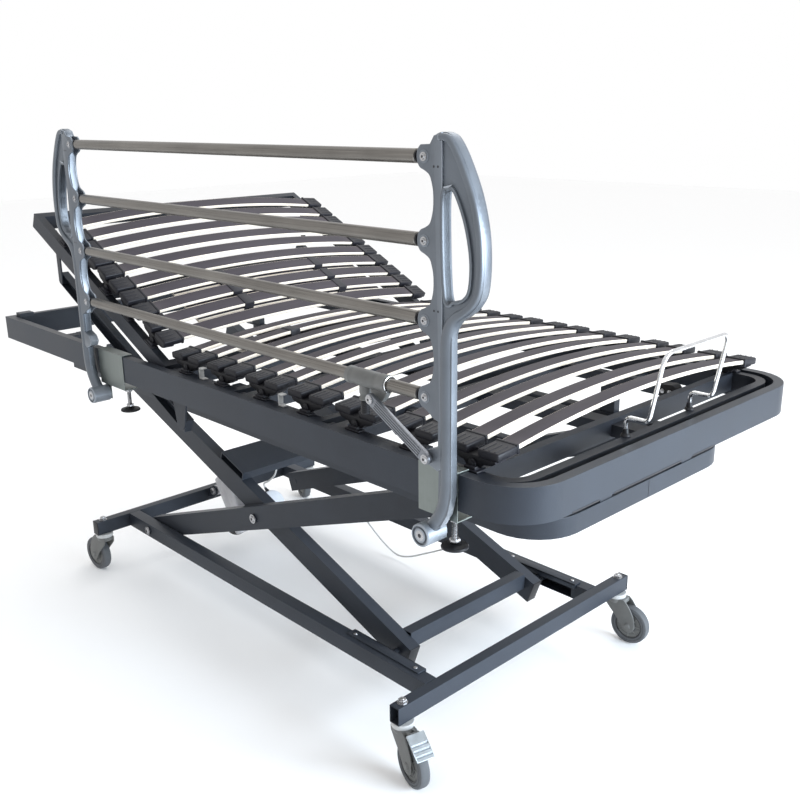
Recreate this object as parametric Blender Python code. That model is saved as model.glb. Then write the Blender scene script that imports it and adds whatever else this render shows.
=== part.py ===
"""Adjustable bed with a scissor lift, a slatted deck in four sections and a folding side guard."""
import math

import bmesh
import bpy
from mathutils import Matrix, Vector

# ---- driving dimensions, in metres; +X towards the foot, -Y the guard side, +Z up ----
GAP = 0.0003
MERGE = 0.00002

FRAME_HALF = 0.975
FRAME_WIDE = 0.467
FRAME_TOP = 0.747
FRAME_BOTTOM = 0.683
RAIL_WIDE = 0.021
FRAME_CORNER = 0.098
WALL = 0.0025

TUBE_HIGH = 0.040
TUBE_BOTTOM = 0.128
TUBE_WIDE = 0.027
TUBE_HALF = 0.4035
FOOT_TUBE_X = 0.6075
HEAD_TUBE_X = -0.6665
RAIL_IN = 0.268
RAIL_OUT = 0.302
TRACK_START, TRACK_END = 0.36, 0.545

LIFT_ANGLE = math.radians(20.15)
LOWER_HALF = 0.5226
UPPER_HALF = 0.8081
PIVOT_X = -0.5416
PIVOT_Z = 0.148
ARM_DEEP = 0.060
ARM_WALL = 0.0022
OUTER_ARM_IN, OUTER_ARM_OUT = 0.235, 0.265
INNER_ARM_IN, INNER_ARM_OUT = 0.202, 0.232
ROLLER = 0.0145
PIN = 0.008
MOTOR_DROP = -0.122
DRIVE_MOTOR_END = 0.270
DRIVE_TUBE_END = 0.360
MOTOR_LEAD = 0.005
RAIL_CABLE = 0.005
RAIL_CABLE_Y = 0.285

SUB_OUT = 0.328
SUB_IN = 0.298
SUB_FRONT = 0.905
SUB_HEAD = -0.860
SUB_HALF_HIGH = 0.019
SUB_CORNER = 0.100
SUB_WEB = 0.0035
BRACKETS = [-0.81, 0.0, 0.60]
BRACKET_TOP = 0.699

CASTER_Y = 0.380
CASTER_TRAIL = 0.042
WHEEL = 0.050
WHEEL_SIDES = 20

DECK_WIDE = 0.440
DECK_TUBE = 0.020
DECK_TOP = 0.743
DECK_BOTTOM = 0.703
HINGE_Z = 0.728
HINGE_GAP = 0.015
BACK_HINGE = -0.1076
BACK_LONG = 0.720
BACK_ANGLE = math.radians(26.0)
THIGH_HINGE = 0.175
LEG_HINGE = 0.469
DECK_FOOT = 0.934
LINK_LONG = 0.125
LINK_AT = 0.635
LEVER_Y = 0.3925
LEVER_HALF = 0.018

PAIR_PITCH = 0.146
PAIR_FIRST = -0.042
BACK_PAIR_PITCH = 0.1146
BACK_PAIR_FIRST = 0.101
SLAT_OFFSET = 0.034
BACK_SLAT_OFFSET = 0.030
SLAT_WIDE = 0.038
SLAT_THICK = 0.008
SLAT_HALF = 0.392
SLAT_END_TOP = 0.7845
SLAT_CROWN = 0.0275
CAP_END = 0.432

POST_NEAR, POST_FAR = -0.496, -0.470
POST_MID = (POST_NEAR + POST_FAR) / 2
FOOT_POST_X = 0.789
HEAD_POST_X = -0.3765
BOSS_Z = 0.637
BOSS = 0.021
BAR_HEIGHTS = [0.873, 0.997, 1.120, 1.244]
BAR = 0.011
EAR_SLOT = 0.007
STRUT_NEAR, STRUT_FAR = -0.5060, -0.4965
STRUT_POST = (0.7985, 0.7734)
STRUT_SLEEVE = (0.668, 0.846)
BOLT_PROUD = 0.0025

# The origin is at the middle of the whole outline on the floor, so the bed is offset by half of
# what the guard adds on its own side and half of what the mattress retainer adds at the foot.
CLAMP_TOP = FRAME_TOP + 0.003
GUARD_OUT = STRUT_NEAR - BOLT_PROUD
RETAINER_OUT = 0.9895
OFFSET = Vector((-(RETAINER_OUT - FRAME_HALF) / 2, -(GUARD_OUT + FRAME_WIDE) / 2, 0.0))

COLOURS = {
    "frame_paint": ((0.060, 0.068, 0.085), 0.38, 0.35),
    "deck_paint": ((0.045, 0.050, 0.062), 0.42, 0.35),
    "guard_cast": ((0.46, 0.49, 0.53), 0.42, 0.75),
    "bar_steel": ((0.52, 0.50, 0.47), 0.30, 0.90),
    "zinc": ((0.55, 0.58, 0.55), 0.35, 0.90),
    "chrome": ((0.80, 0.81, 0.83), 0.10, 1.00),
    "black_rubber": ((0.012, 0.012, 0.014), 0.60, 0.00),
    "slat_wood": ((0.090, 0.075, 0.090), 0.45, 0.00),
    "caster_grey": ((0.23, 0.24, 0.25), 0.45, 0.00),
    "wheel_grey": ((0.26, 0.27, 0.28), 0.60, 0.00),
    "motor_grey": ((0.50, 0.50, 0.52), 0.45, 0.00),
    "cable": ((0.60, 0.60, 0.60), 0.50, 0.00),
}

for old_object in list(bpy.data.objects):
    bpy.data.objects.remove(old_object, do_unlink=True)

bed = bpy.data.collections.new("adjustable_hospital_bed")
bpy.context.scene.collection.children.link(bed)


# ---- helpers ----
def material(slot):
    found = bpy.data.materials.get(slot)
    if found:
        return found
    colour, roughness, metallic = COLOURS[slot]
    made = bpy.data.materials.new(slot)
    made.use_nodes = True
    shader = made.node_tree.nodes["Principled BSDF"]
    shader.inputs["Base Color"].default_value = (*colour, 1.0)
    shader.inputs["Roughness"].default_value = roughness
    shader.inputs["Metallic"].default_value = metallic
    return made


def solid(bm, name="piece"):
    """A new object from a bmesh, with its faces pointing out."""
    bmesh.ops.recalc_face_normals(bm, faces=bm.faces)
    if bm.calc_volume(signed=True) < 0.0:
        bmesh.ops.reverse_faces(bm, faces=bm.faces)
    mesh = bpy.data.meshes.new(name)
    bm.to_mesh(mesh)
    bm.free()
    piece = bpy.data.objects.new(name, mesh)
    bed.objects.link(piece)
    return piece


def box(low, high):
    bm = bmesh.new()
    bmesh.ops.create_cube(bm, size=1.0)
    low, high = Vector(low), Vector(high)
    size = high - low
    for vertex in bm.verts:
        vertex.co = (low + high) / 2 + Vector(a * b for a, b in zip(vertex.co, size))
    return solid(bm)


def rod(start, end, radius, sides=16):
    """A round bar between two points."""
    start, end = Vector(start), Vector(end)
    axis = end - start
    bm = bmesh.new()
    bmesh.ops.create_cone(bm, cap_ends=True, segments=sides, radius1=radius, radius2=radius, depth=axis.length)
    turn = axis.to_track_quat("Z", "Y").to_matrix().to_4x4()
    bm.transform(Matrix.Translation((start + end) / 2) @ turn)
    return solid(bm)


def plate(outlines, axis, low, high):
    """Closed outlines, the first one filled and the others holes, extruded along an axis.

    The outline's two coordinates are (x, z) for axis Y, (x, y) for Z and (y, z) for X.
    """
    curve = bpy.data.curves.new("outline", "CURVE")
    curve.dimensions = "2D"
    curve.fill_mode = "BOTH"
    curve.extrude = (high - low) / 2
    for outline in outlines:
        spline = curve.splines.new("POLY")
        spline.points.add(len(outline) - 1)
        for point, (u, v) in zip(spline.points, outline):
            point.co = (u, v, 0.0, 1.0)
        spline.use_cyclic_u = True
    sketch = bpy.data.objects.new("outline", curve)
    bed.objects.link(sketch)
    mesh = bpy.data.meshes.new_from_object(sketch.evaluated_get(bpy.context.evaluated_depsgraph_get()))
    bpy.data.objects.remove(sketch)
    middle = (low + high) / 2
    frames = {
        "X": Matrix(((0, 0, 1, middle), (1, 0, 0, 0), (0, 1, 0, 0), (0, 0, 0, 1))),
        "Y": Matrix(((1, 0, 0, 0), (0, 0, -1, middle), (0, 1, 0, 0), (0, 0, 0, 1))),
        "Z": Matrix.Translation((0, 0, middle)),
    }
    bm = bmesh.new()
    bm.from_mesh(mesh)
    bpy.data.meshes.remove(mesh)
    bmesh.ops.remove_doubles(bm, verts=bm.verts, dist=MERGE)
    bmesh.ops.dissolve_limit(bm, angle_limit=0.001, verts=bm.verts, edges=bm.edges)
    bm.transform(frames[axis])
    return solid(bm)


def turned(profile, centre, sides):
    """A closed (radius, y) profile turned about the Y direction through centre."""
    bm = bmesh.new()
    ring = [bm.verts.new((0.0, y, -radius)) for radius, y in profile]
    for first, second in zip(ring, ring[1:] + ring[:1]):
        bm.edges.new((first, second))
    geometry = bm.verts[:] + bm.edges[:]
    bmesh.ops.spin(bm, geom=geometry, cent=(0, 0, 0), axis=(0, 1, 0), angle=2 * math.pi, steps=sides)
    bmesh.ops.remove_doubles(bm, verts=bm.verts, dist=MERGE)
    bm.transform(Matrix.Translation(centre))
    return solid(bm)


def wire(points, radius, resolution=2):
    """A round wire along points."""
    curve = bpy.data.curves.new("wire", "CURVE")
    curve.dimensions = "3D"
    curve.bevel_depth = radius
    curve.bevel_resolution = resolution
    curve.use_fill_caps = True
    spline = curve.splines.new("POLY")
    spline.points.add(len(points) - 1)
    for point, place in zip(spline.points, points):
        point.co = (*place, 1.0)
    sketch = bpy.data.objects.new("wire", curve)
    bed.objects.link(sketch)
    mesh = bpy.data.meshes.new_from_object(sketch.evaluated_get(bpy.context.evaluated_depsgraph_get()))
    bpy.data.objects.remove(sketch)
    bm = bmesh.new()
    bm.from_mesh(mesh)
    bpy.data.meshes.remove(mesh)
    bmesh.ops.remove_doubles(bm, verts=bm.verts, dist=MERGE)
    return solid(bm)


def boolean(target, tool, operation):
    modifier = target.modifiers.new(operation, "BOOLEAN")
    modifier.operation = operation
    modifier.solver = "EXACT"
    modifier.object = tool
    seen = target.evaluated_get(bpy.context.evaluated_depsgraph_get())
    mesh = bpy.data.meshes.new_from_object(seen)
    target.modifiers.clear()
    bm = bmesh.new()
    bm.from_mesh(mesh)
    bmesh.ops.remove_doubles(bm, verts=bm.verts, dist=MERGE)
    bmesh.ops.dissolve_degenerate(bm, edges=bm.edges, dist=MERGE)
    bmesh.ops.dissolve_limit(bm, angle_limit=0.001, verts=bm.verts, edges=bm.edges)
    bm.to_mesh(mesh)
    bm.free()
    target.data = mesh
    bpy.data.objects.remove(tool)


def join(target, *tools):
    for tool in tools:
        boolean(target, tool, "UNION")
    return target


def cut(target, *tools):
    for tool in tools:
        boolean(target, tool, "DIFFERENCE")
    return target


def moved(piece, matrix):
    piece.data.transform(matrix)
    return piece


def copied(piece):
    twin = bpy.data.objects.new(piece.name, piece.data.copy())
    bed.objects.link(twin)
    return twin


def mirrored(piece):
    """A copy on the other side of the bed's centre plane."""
    twin = copied(piece)
    twin.data.transform(Matrix.Scale(-1.0, 4, (0, 1, 0)))
    twin.data.flip_normals()
    return twin


def arc(centre, radius, start, end, steps):
    """Points along an arc, with its angles in degrees."""
    points = []
    for step in range(steps + 1):
        angle = math.radians(start + (end - start) * step / steps)
        points.append((centre[0] + radius * math.cos(angle), centre[1] + radius * math.sin(angle)))
    return points


def rectangle(x0, x1, y0, y1, foot_radius=0.0, steps=8):
    """An outline with square corners at x0 and round ones at x1."""
    if foot_radius <= 0.0:
        return [(x0, y0), (x1, y0), (x1, y1), (x0, y1)]
    r = foot_radius
    return (
        [(x0, y0)]
        + arc((x1 - r, y0 + r), r, -90, 0, steps)
        + arc((x1 - r, y1 - r), r, 0, 90, steps)
        + [(x0, y1)]
    )


def hollow_section(wide, high, wall):
    """A rectangular tube's two outlines, about its own middle."""
    w, h = wide / 2, high / 2
    return [rectangle(-w, w, -h, h), rectangle(wall - w, w - wall, wall - h, h - wall)]


def shifted(outlines, du, dv):
    return [[(u + du, v + dv) for u, v in outline] for outline in outlines]


def about(point, angle, axis="Y"):
    """A turn about an axis through a point."""
    place = Matrix.Translation(Vector(point))
    return place @ Matrix.Rotation(angle, 4, axis) @ place.inverted()


# ---- bodies: an empty on each joint's axis ----
centre_x = PIVOT_X + LOWER_HALF * math.cos(LIFT_ANGLE)
centre_z = PIVOT_Z + LOWER_HALF * math.sin(LIFT_ANGLE)
roller_x = centre_x + LOWER_HALF * math.cos(LIFT_ANGLE)
upper_z = centre_z + UPPER_HALF * math.sin(LIFT_ANGLE)
upper_foot_x = centre_x + UPPER_HALF * math.cos(LIFT_ANGLE)
upper_head_x = centre_x - UPPER_HALF * math.cos(LIFT_ANGLE)


def on_back(distance, height):
    """A point in the back section's own frame, where distance runs up the section."""
    x = BACK_HINGE - distance * math.cos(BACK_ANGLE) + height * math.sin(BACK_ANGLE)
    z = HINGE_Z + distance * math.sin(BACK_ANGLE) + height * math.cos(BACK_ANGLE)
    return x, z


def on_inner_arm(distance, height):
    """A point beside the inner arms: distance from the centre pivot towards the head."""
    x = centre_x - distance * math.cos(LIFT_ANGLE) + height * math.sin(LIFT_ANGLE)
    z = centre_z + distance * math.sin(LIFT_ANGLE) + height * math.cos(LIFT_ANGLE)
    return x, z


DRIVE_BASE = (-0.622, 0.168)
DRIVE_TIP = on_inner_arm(0.214, 0.012)
drive_angle = math.atan2(DRIVE_TIP[1] - DRIVE_BASE[1], DRIVE_TIP[0] - DRIVE_BASE[0])
drive_long = math.hypot(DRIVE_TIP[0] - DRIVE_BASE[0], DRIVE_TIP[1] - DRIVE_BASE[1])
link_top = on_back(LINK_AT, 0.0)
link_foot = (link_top[0], link_top[1] - LINK_LONG)
lever_pivot = (BACK_HINGE, HINGE_Z - LINK_LONG)

CASTERS = {
    "near_foot": (FOOT_TUBE_X, -CASTER_Y, -14.0),
    "far_foot": (FOOT_TUBE_X, CASTER_Y, 6.0),
    "near_head": (HEAD_TUBE_X, -CASTER_Y, 186.0),
    "far_head": (HEAD_TUBE_X, CASTER_Y, 162.0),
}


def caster_point(name, forward, side, height):
    x, y, heading = CASTERS[name]
    turn = math.radians(heading)
    return (
        x + forward * math.cos(turn) - side * math.sin(turn),
        y + forward * math.sin(turn) + side * math.cos(turn),
        height,
    )


PEDAL_HINGE = (0.048, 0.1245)
PIVOTS = {
    "chassis": (0.0, 0.0, 0.0),
    "outer_arms": (PIVOT_X, 0.0, PIVOT_Z),
    "inner_arms": (centre_x, 0.0, centre_z),
    "bed_frame": (upper_head_x, 0.0, upper_z),
    "drive_body": (DRIVE_BASE[0], 0.0, DRIVE_BASE[1]),
    "drive_rod": (DRIVE_TIP[0], 0.0, DRIVE_TIP[1]),
    "back_section": (BACK_HINGE, 0.0, HINGE_Z),
    "back_links": (link_top[0], 0.0, link_top[1]),
    "back_levers": (lever_pivot[0], 0.0, lever_pivot[1]),
    "thigh_section": (THIGH_HINGE, 0.0, HINGE_Z),
    "leg_section": (LEG_HINGE, 0.0, HINGE_Z),
    "guard_foot_post": (FOOT_POST_X, POST_MID, BOSS_Z),
    "guard_head_post": (HEAD_POST_X, POST_MID, BOSS_Z),
    "latch_sleeve": (STRUT_SLEEVE[0], POST_MID, BAR_HEIGHTS[0]),
    "latch_knob": (0.634, POST_MID, BAR_HEIGHTS[0]),
    "guard_strut": (STRUT_POST[0], POST_MID, STRUT_POST[1]),
    "brake_pedal": caster_point("near_foot", PEDAL_HINGE[0], 0.0, PEDAL_HINGE[1]),
}
for number, height in enumerate(BAR_HEIGHTS, start=1):
    PIVOTS["guard_bar_%d" % number] = (FOOT_POST_X, POST_MID, height)
for corner in CASTERS:
    PIVOTS["caster_" + corner] = caster_point(corner, 0.0, 0.0, TUBE_BOTTOM)
    PIVOTS["wheel_" + corner] = caster_point(corner, CASTER_TRAIL, 0.0, WHEEL)

pivot_empties = {}
for body, place in PIVOTS.items():
    empty = bpy.data.objects.new("pivot_" + body, None)
    empty.location = Vector(place) + OFFSET
    empty.empty_display_size = 0.05
    bed.objects.link(empty)
    pivot_empties[body] = empty


def finish(piece, name, slot, body):
    """Name a piece, give it its material and hang it on its body's pivot."""
    piece.name = name
    piece.data.name = name
    piece.data.transform(Matrix.Translation(-Vector(PIVOTS[body])))
    piece.data.materials.clear()
    piece.data.materials.append(material(slot))
    piece.data.shade_smooth()
    piece.data.set_sharp_from_angle(angle=math.radians(32))
    piece.parent = pivot_empties[body]
    return piece


def both_sides(piece, name, slot, body):
    finish(mirrored(piece), name + "_far", slot, body)
    finish(piece, name + "_near", slot, body)


# ---- chassis ----
def chassis():
    middle = TUBE_BOTTOM + TUBE_HIGH / 2
    inner_end = TUBE_WIDE / 2 + GAP
    section = shifted(hollow_section(RAIL_OUT - RAIL_IN, TUBE_HIGH, 0.003), -(RAIL_IN + RAIL_OUT) / 2, middle)
    rail = plate(section, "X", HEAD_TUBE_X + inner_end, FOOT_TUBE_X - inner_end)
    track = box((TRACK_START, -RAIL_IN - 0.005, TUBE_BOTTOM + 0.003), (TRACK_END, -0.26, TUBE_BOTTOM + 0.037))
    bore = rod((PIVOT_X, -RAIL_OUT - 0.01, PIVOT_Z), (PIVOT_X, -RAIL_IN + 0.01, PIVOT_Z), PIN + GAP)
    cut(rail, track, bore)
    both_sides(rail, "chassis_rail", "frame_paint", "chassis")
    for name, x in (("chassis_foot_tube", FOOT_TUBE_X), ("chassis_head_tube", HEAD_TUBE_X)):
        section = shifted(hollow_section(TUBE_WIDE, TUBE_HIGH, 0.0022), x, middle)
        tube = plate(section, "Y", -TUBE_HALF, TUBE_HALF)
        if x < 0:
            # two cheeks carry the lift drive's fixed end
            for side in (-1, 1):
                lug = arc((DRIVE_BASE[0], DRIVE_BASE[1]), 0.018, 90, -90, 8)
                back = x + TUBE_WIDE / 2 - 0.001
                lug += [(back, DRIVE_BASE[1] - 0.028), (back, DRIVE_BASE[1] - 0.002)]
                ends = sorted((side * 0.022, side * 0.027))
                join(tube, plate([lug], "Y", ends[0], ends[1]))
        finish(tube, name, "frame_paint", "chassis")


def caster(name):
    turn = Matrix.Translation(Vector(PIVOTS["caster_" + name]) * Vector((1, 1, 0)))
    turn = turn @ Matrix.Rotation(math.radians(CASTERS[name][2]), 4, "Z")
    axle = (CASTER_TRAIL, WHEEL)
    side = [(-0.022, 0.118), (0.030, 0.118), (0.040, 0.100), (0.058, 0.066)]
    side += arc(axle, 0.014, 20, -160, 8)
    side += [(0.016, 0.066), (-0.002, 0.088), (-0.020, 0.098)]
    fork = box((-0.0205, -0.0155, 0.1065), (0.0285, 0.0155, 0.1170))
    join(fork, plate([side], "Y", 0.0135, 0.0165))
    join(fork, plate([side], "Y", -0.0165, -0.0135))
    join(fork, rod((0, 0, 0.1105), (0, 0, TUBE_BOTTOM - GAP), 0.0245, 24))
    join(fork, rod((axle[0], -0.020, axle[1]), (axle[0], 0.020, axle[1]), 0.005, 12))
    finish(moved(fork, turn), "caster_fork_" + name, "caster_grey", "caster_" + name)
    half = [(0.0053, 0.012), (0.016, 0.012), (0.019, 0.008), (0.034, 0.008)]
    half += [(0.036, 0.0115), (0.046, 0.0115), (WHEEL, 0.008)]
    profile = half + [(radius, -y) for radius, y in reversed(half)]
    wheel = turned(profile, (axle[0], 0.0, axle[1]), WHEEL_SIDES)
    finish(moved(wheel, turn), "caster_wheel_" + name, "wheel_grey", "wheel_" + name)
    if name == "near_foot":
        pedal = box((0.0, -0.020, -0.002), (0.056, 0.020, 0.002))
        tilt = Matrix.Translation((PEDAL_HINGE[0], 0.0, PEDAL_HINGE[1])) @ Matrix.Rotation(math.radians(37), 4, "Y")
        finish(moved(pedal, turn @ tilt), "brake_pedal", "zinc", "brake_pedal")


# ---- scissor ----
def arm_tube(y_low, y_high, start, length):
    """A hollow arm lying along +X at the lower pivot's height, to be raised afterwards."""
    section = shifted(hollow_section(y_high - y_low, ARM_DEEP, ARM_WALL), (y_low + y_high) / 2, 0.0)
    return plate(section, "X", start, length)


def scissor():
    whole = LOWER_HALF + UPPER_HALF
    rise = Matrix.Translation((PIVOT_X, 0.0, PIVOT_Z)) @ Matrix.Rotation(-LIFT_ANGLE, 4, "Y")
    outer = arm_tube(-OUTER_ARM_OUT, -OUTER_ARM_IN, -0.030, whole + 0.030)
    join(outer, rod((0, -RAIL_OUT - 0.004, 0), (0, -OUTER_ARM_IN + 0.001, 0), PIN))
    join(outer, rod((0, -RAIL_OUT - 0.004, 0), (0, -RAIL_OUT - 0.0005, 0), 0.012))
    join(outer, rod((LOWER_HALF, -OUTER_ARM_OUT - 0.004, 0), (LOWER_HALF, -INNER_ARM_IN + 0.004, 0), PIN))
    join(outer, rod((LOWER_HALF, -OUTER_ARM_OUT - 0.004, 0), (LOWER_HALF, -OUTER_ARM_OUT + 0.001, 0), 0.012))
    join(outer, rod((whole, -SUB_OUT + 0.006, 0), (whole, -OUTER_ARM_IN + 0.001, 0), PIN))
    join(outer, rod((whole, -SUB_OUT + 0.006, 0), (whole, -SUB_IN - 0.002, 0), ROLLER))
    both_sides(moved(outer, rise), "outer_arm", "frame_paint", "outer_arms")

    fall = Matrix.Translation((centre_x, 0.0, centre_z)) @ Matrix.Rotation(math.pi + LIFT_ANGLE, 4, "Y")
    inner = arm_tube(-INNER_ARM_OUT, -INNER_ARM_IN, -LOWER_HALF - 0.030, UPPER_HALF + 0.030)
    cut(inner, rod((0, -0.25, 0), (0, -0.19, 0), PIN + GAP))
    join(inner, rod((-LOWER_HALF, -RAIL_OUT + 0.005, 0), (-LOWER_HALF, -INNER_ARM_IN - 0.001, 0), PIN))
    join(inner, rod((-LOWER_HALF, -RAIL_OUT + 0.005, 0), (-LOWER_HALF, -RAIL_IN - 0.005, 0), ROLLER))
    join(inner, rod((UPPER_HALF, -SUB_OUT + 0.006, 0), (UPPER_HALF, -INNER_ARM_IN - 0.001, 0), PIN))
    join(inner, rod((UPPER_HALF, -SUB_OUT + 0.006, 0), (UPPER_HALF, -SUB_IN - 0.002, 0), ROLLER))
    both_sides(moved(inner, fall), "inner_arm", "frame_paint", "inner_arms")

    reach = INNER_ARM_IN - GAP
    section = shifted(hollow_section(0.030, 0.040, 0.0022), roller_x - 0.004, PIVOT_Z + 0.016)
    finish(plate(section, "Y", -reach, reach), "sliding_cross_tube", "frame_paint", "inner_arms")

    corners = [on_inner_arm(0.111, 0.0303), on_inner_arm(0.214, 0.0303), on_inner_arm(0.214, 0.054)]
    corners += [on_inner_arm(0.111, 0.054)]
    hollow = [on_inner_arm(0.114, 0.0333), on_inner_arm(0.211, 0.0333), on_inner_arm(0.211, 0.051)]
    hollow += [on_inner_arm(0.114, 0.051)]
    beam = plate([corners, hollow], "Y", -INNER_ARM_OUT, INNER_ARM_OUT)
    for side in (-1, 1):
        lug = [on_inner_arm(0.175, 0.032), on_inner_arm(0.2125, 0.032), on_inner_arm(0.229, 0.020)]
        lug += [on_inner_arm(0.231, 0.008), on_inner_arm(0.220, -0.004), on_inner_arm(0.204, -0.002)]
        ends = sorted((side * 0.016, side * 0.021))
        join(beam, plate([lug], "Y", ends[0], ends[1]))
    finish(beam, "lift_beam", "frame_paint", "inner_arms")


def lift_drive():
    """The drive lies along +X first: its fixed eye at the origin, its rod towards the beam."""
    turn = Matrix.Translation((DRIVE_BASE[0], 0.0, DRIVE_BASE[1])) @ Matrix.Rotation(-drive_angle, 4, "Y")
    housing = rod((0, -0.018, 0), (0, 0.018, 0), 0.016, 20)
    join(housing, box((0.008, -0.012, -0.012), (0.060, 0.012, 0.012)))
    join(housing, box((0.045, -0.037, -0.160), (0.120, 0.037, 0.030)))
    join(housing, rod((0.000, 0.0, MOTOR_DROP), (DRIVE_MOTOR_END, 0.0, MOTOR_DROP), 0.0362, 20))
    join(housing, rod((0.110, 0, 0), (DRIVE_TUBE_END, 0, 0), 0.021, 20))
    cut(housing, rod((0.135, 0, 0), (DRIVE_TUBE_END + 0.01, 0, 0), 0.0128, 16))
    finish(moved(housing, turn), "lift_drive_housing", "motor_grey", "drive_body")
    piston = rod((0.225, 0, 0), (drive_long - 0.008, 0, 0), 0.012, 16)
    join(piston, rod((drive_long, -0.012, 0), (drive_long, 0.012, 0), 0.0135, 16))
    finish(moved(piston, turn), "lift_drive_rod", "bar_steel", "drive_rod")

    side = MOTOR_DROP + 0.0362 + 4 * GAP
    lead = [(0.250, 0.0, side), (0.252, -0.004, side + 0.012), (0.266, -0.010, side + 0.022)]
    lead += [(0.300, -0.014, side + 0.020), (0.332, -0.010, side + 0.026), (0.347, -0.003, side + 0.044)]
    lead += [(0.350, 0.0, -0.021 - 4 * GAP)]
    points = [turn @ point for point in smooth([Vector(place) for place in lead], 40)]
    finish(wire(points, MOTOR_LEAD / 2), "motor_lead", "cable", "drive_body")


def smooth(route, count):
    """Points along a smooth curve through every point of the route."""
    points = []
    for step in range(count + 1):
        place = (len(route) - 1) * step / count
        number = min(int(place), len(route) - 2)
        t = place - number
        here, there = route[number], route[number + 1]
        before = route[number - 1] if number > 0 else 2 * here - there
        after = route[number + 2] if number + 2 < len(route) else 2 * there - here
        square = 2 * before - 5 * here + 4 * there - after
        cube = 3 * here - before - 3 * there + after
        points.append((2 * here + (there - before) * t + square * t * t + cube * t * t * t) / 2)
    return points


def rail_cable():
    """The mains lead's slack, hanging between two clips under the far rail."""
    top = TUBE_BOTTOM - 4 * GAP
    bottom = (-0.108, 0.0155)
    left = [(-0.270, top), (-0.270, 0.114), (-0.2625, 0.098), (-0.225, 0.070), (-0.165, 0.034)]
    right = [(-0.055, 0.028), (0.010, 0.060), (0.080, 0.097), (0.108, 0.114), (0.115, top)]
    route = [Vector((x, RAIL_CABLE_Y, z)) for x, z in left + [bottom] + right]
    finish(wire(smooth(route, 60), RAIL_CABLE / 2), "rail_cable", "cable", "chassis")


# ---- bed frame ----
def bed_frame():
    inner_corner = FRAME_CORNER - RAIL_WIDE

    def ring(inset_out, inset_in):
        far = FRAME_HALF - inset_out
        near = FRAME_HALF - RAIL_WIDE + inset_in
        wide_out = FRAME_WIDE - inset_out
        wide_in = FRAME_WIDE - RAIL_WIDE + inset_in
        outer = rectangle(-far, far, -wide_out, wide_out, FRAME_CORNER - inset_out)
        inner = rectangle(-near, near, -wide_in, wide_in, inner_corner + inset_in)
        return [outer, inner]

    frame = plate(ring(0.0, 0.0), "Z", FRAME_BOTTOM, FRAME_TOP)
    cavity = plate(ring(WALL, WALL), "Z", FRAME_BOTTOM + WALL, FRAME_TOP - WALL)
    drain_x = -FRAME_HALF + RAIL_WIDE / 2
    drain = box((drain_x - 0.004, -0.012, FRAME_BOTTOM - 0.01), (drain_x + 0.004, 0.012, FRAME_BOTTOM + 0.02))
    cut(frame, join(cavity, drain))
    hanger = lever_hanger()
    join(frame, mirrored(hanger), hanger)
    join(frame, box((-0.960, -0.440, FRAME_TOP - 0.001), (-0.930, -0.400, FRAME_TOP + 0.010)))
    finish(frame, "bed_frame", "frame_paint", "bed_frame")

    low, high = upper_z - SUB_HALF_HIGH, upper_z + SUB_HALF_HIGH
    outline = rectangle(SUB_HEAD, SUB_FRONT, -SUB_OUT, SUB_OUT, SUB_CORNER)
    window = rectangle(SUB_HEAD - 0.01, SUB_FRONT - 0.030, -SUB_IN, SUB_IN, SUB_CORNER - 0.030)
    sub = plate([outline], "Z", low, high)
    cut(sub, plate([window], "Z", low - 0.01, high + 0.01))
    for side in (-1, 1):
        ends = sorted((side * (SUB_IN - 0.010), side * (SUB_OUT - SUB_WEB)))
        track = box((SUB_HEAD - 0.01, ends[0], low + 0.003), (0.825, ends[1], high - 0.003))
        cut(sub, track)
        for x in BRACKETS:
            # brackets carry the bed frame on the lift's own rails
            pad = sorted((side * (SUB_IN + 0.004), side * (SUB_OUT - 0.004)))
            join(sub, box((x - 0.02, pad[0], high - 0.001), (x + 0.02, pad[1], BRACKET_TOP)))
            arm = sorted((side * (SUB_IN + 0.005), side * (FRAME_WIDE - RAIL_WIDE - GAP)))
            join(sub, box((x - 0.018, arm[0], FRAME_BOTTOM + 0.003), (x + 0.018, arm[1], BRACKET_TOP - 0.001)))
    for y in (-0.14, 0.14):
        front = SUB_FRONT - 0.026
        join(sub, box((front, y - 0.019, high - 0.001), (SUB_FRONT - 0.002, y + 0.019, BRACKET_TOP)))
        reach = FRAME_HALF - RAIL_WIDE - GAP
        join(sub, box((front + 0.001, y - 0.017, FRAME_BOTTOM + 0.004), (reach, y + 0.017, BRACKET_TOP - 0.001)))
    finish(sub, "lift_top_frame", "frame_paint", "bed_frame")


# ---- deck ----
def deck_frame(x0, x1, bars, corner=0.0):
    """An open-bottomed folded frame with cross bars centred on the x values in bars."""
    t = DECK_TUBE
    middles = [x0 + t / 2] + bars + [x1 - t / 2]
    windows = []
    for start, end in zip(middles, middles[1:]):
        radius = corner - t if end == middles[-1] and corner > 0 else 0.0
        windows.append(rectangle(start + t / 2, end - t / 2, t - DECK_WIDE, DECK_WIDE - t, radius))
    frame = plate([rectangle(x0, x1, -DECK_WIDE, DECK_WIDE, corner)] + windows, "Z", DECK_BOTTOM, DECK_TOP)
    low, high = DECK_BOTTOM - 0.01, DECK_TOP - WALL
    for side in (-1, 1):
        ends = sorted((side * (DECK_WIDE - t + WALL), side * (DECK_WIDE - WALL)))
        cut(frame, box((x0 + WALL, ends[0], low), (x1 - max(corner, WALL), ends[1], high)))
    for middle in middles:
        half = t / 2 - WALL
        reach = DECK_WIDE - (corner if middle == middles[-1] and corner > 0 else t / 2)
        cut(frame, box((middle - half, -reach, low), (middle + half, reach, high - 0.0001)))
    return frame


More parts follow.
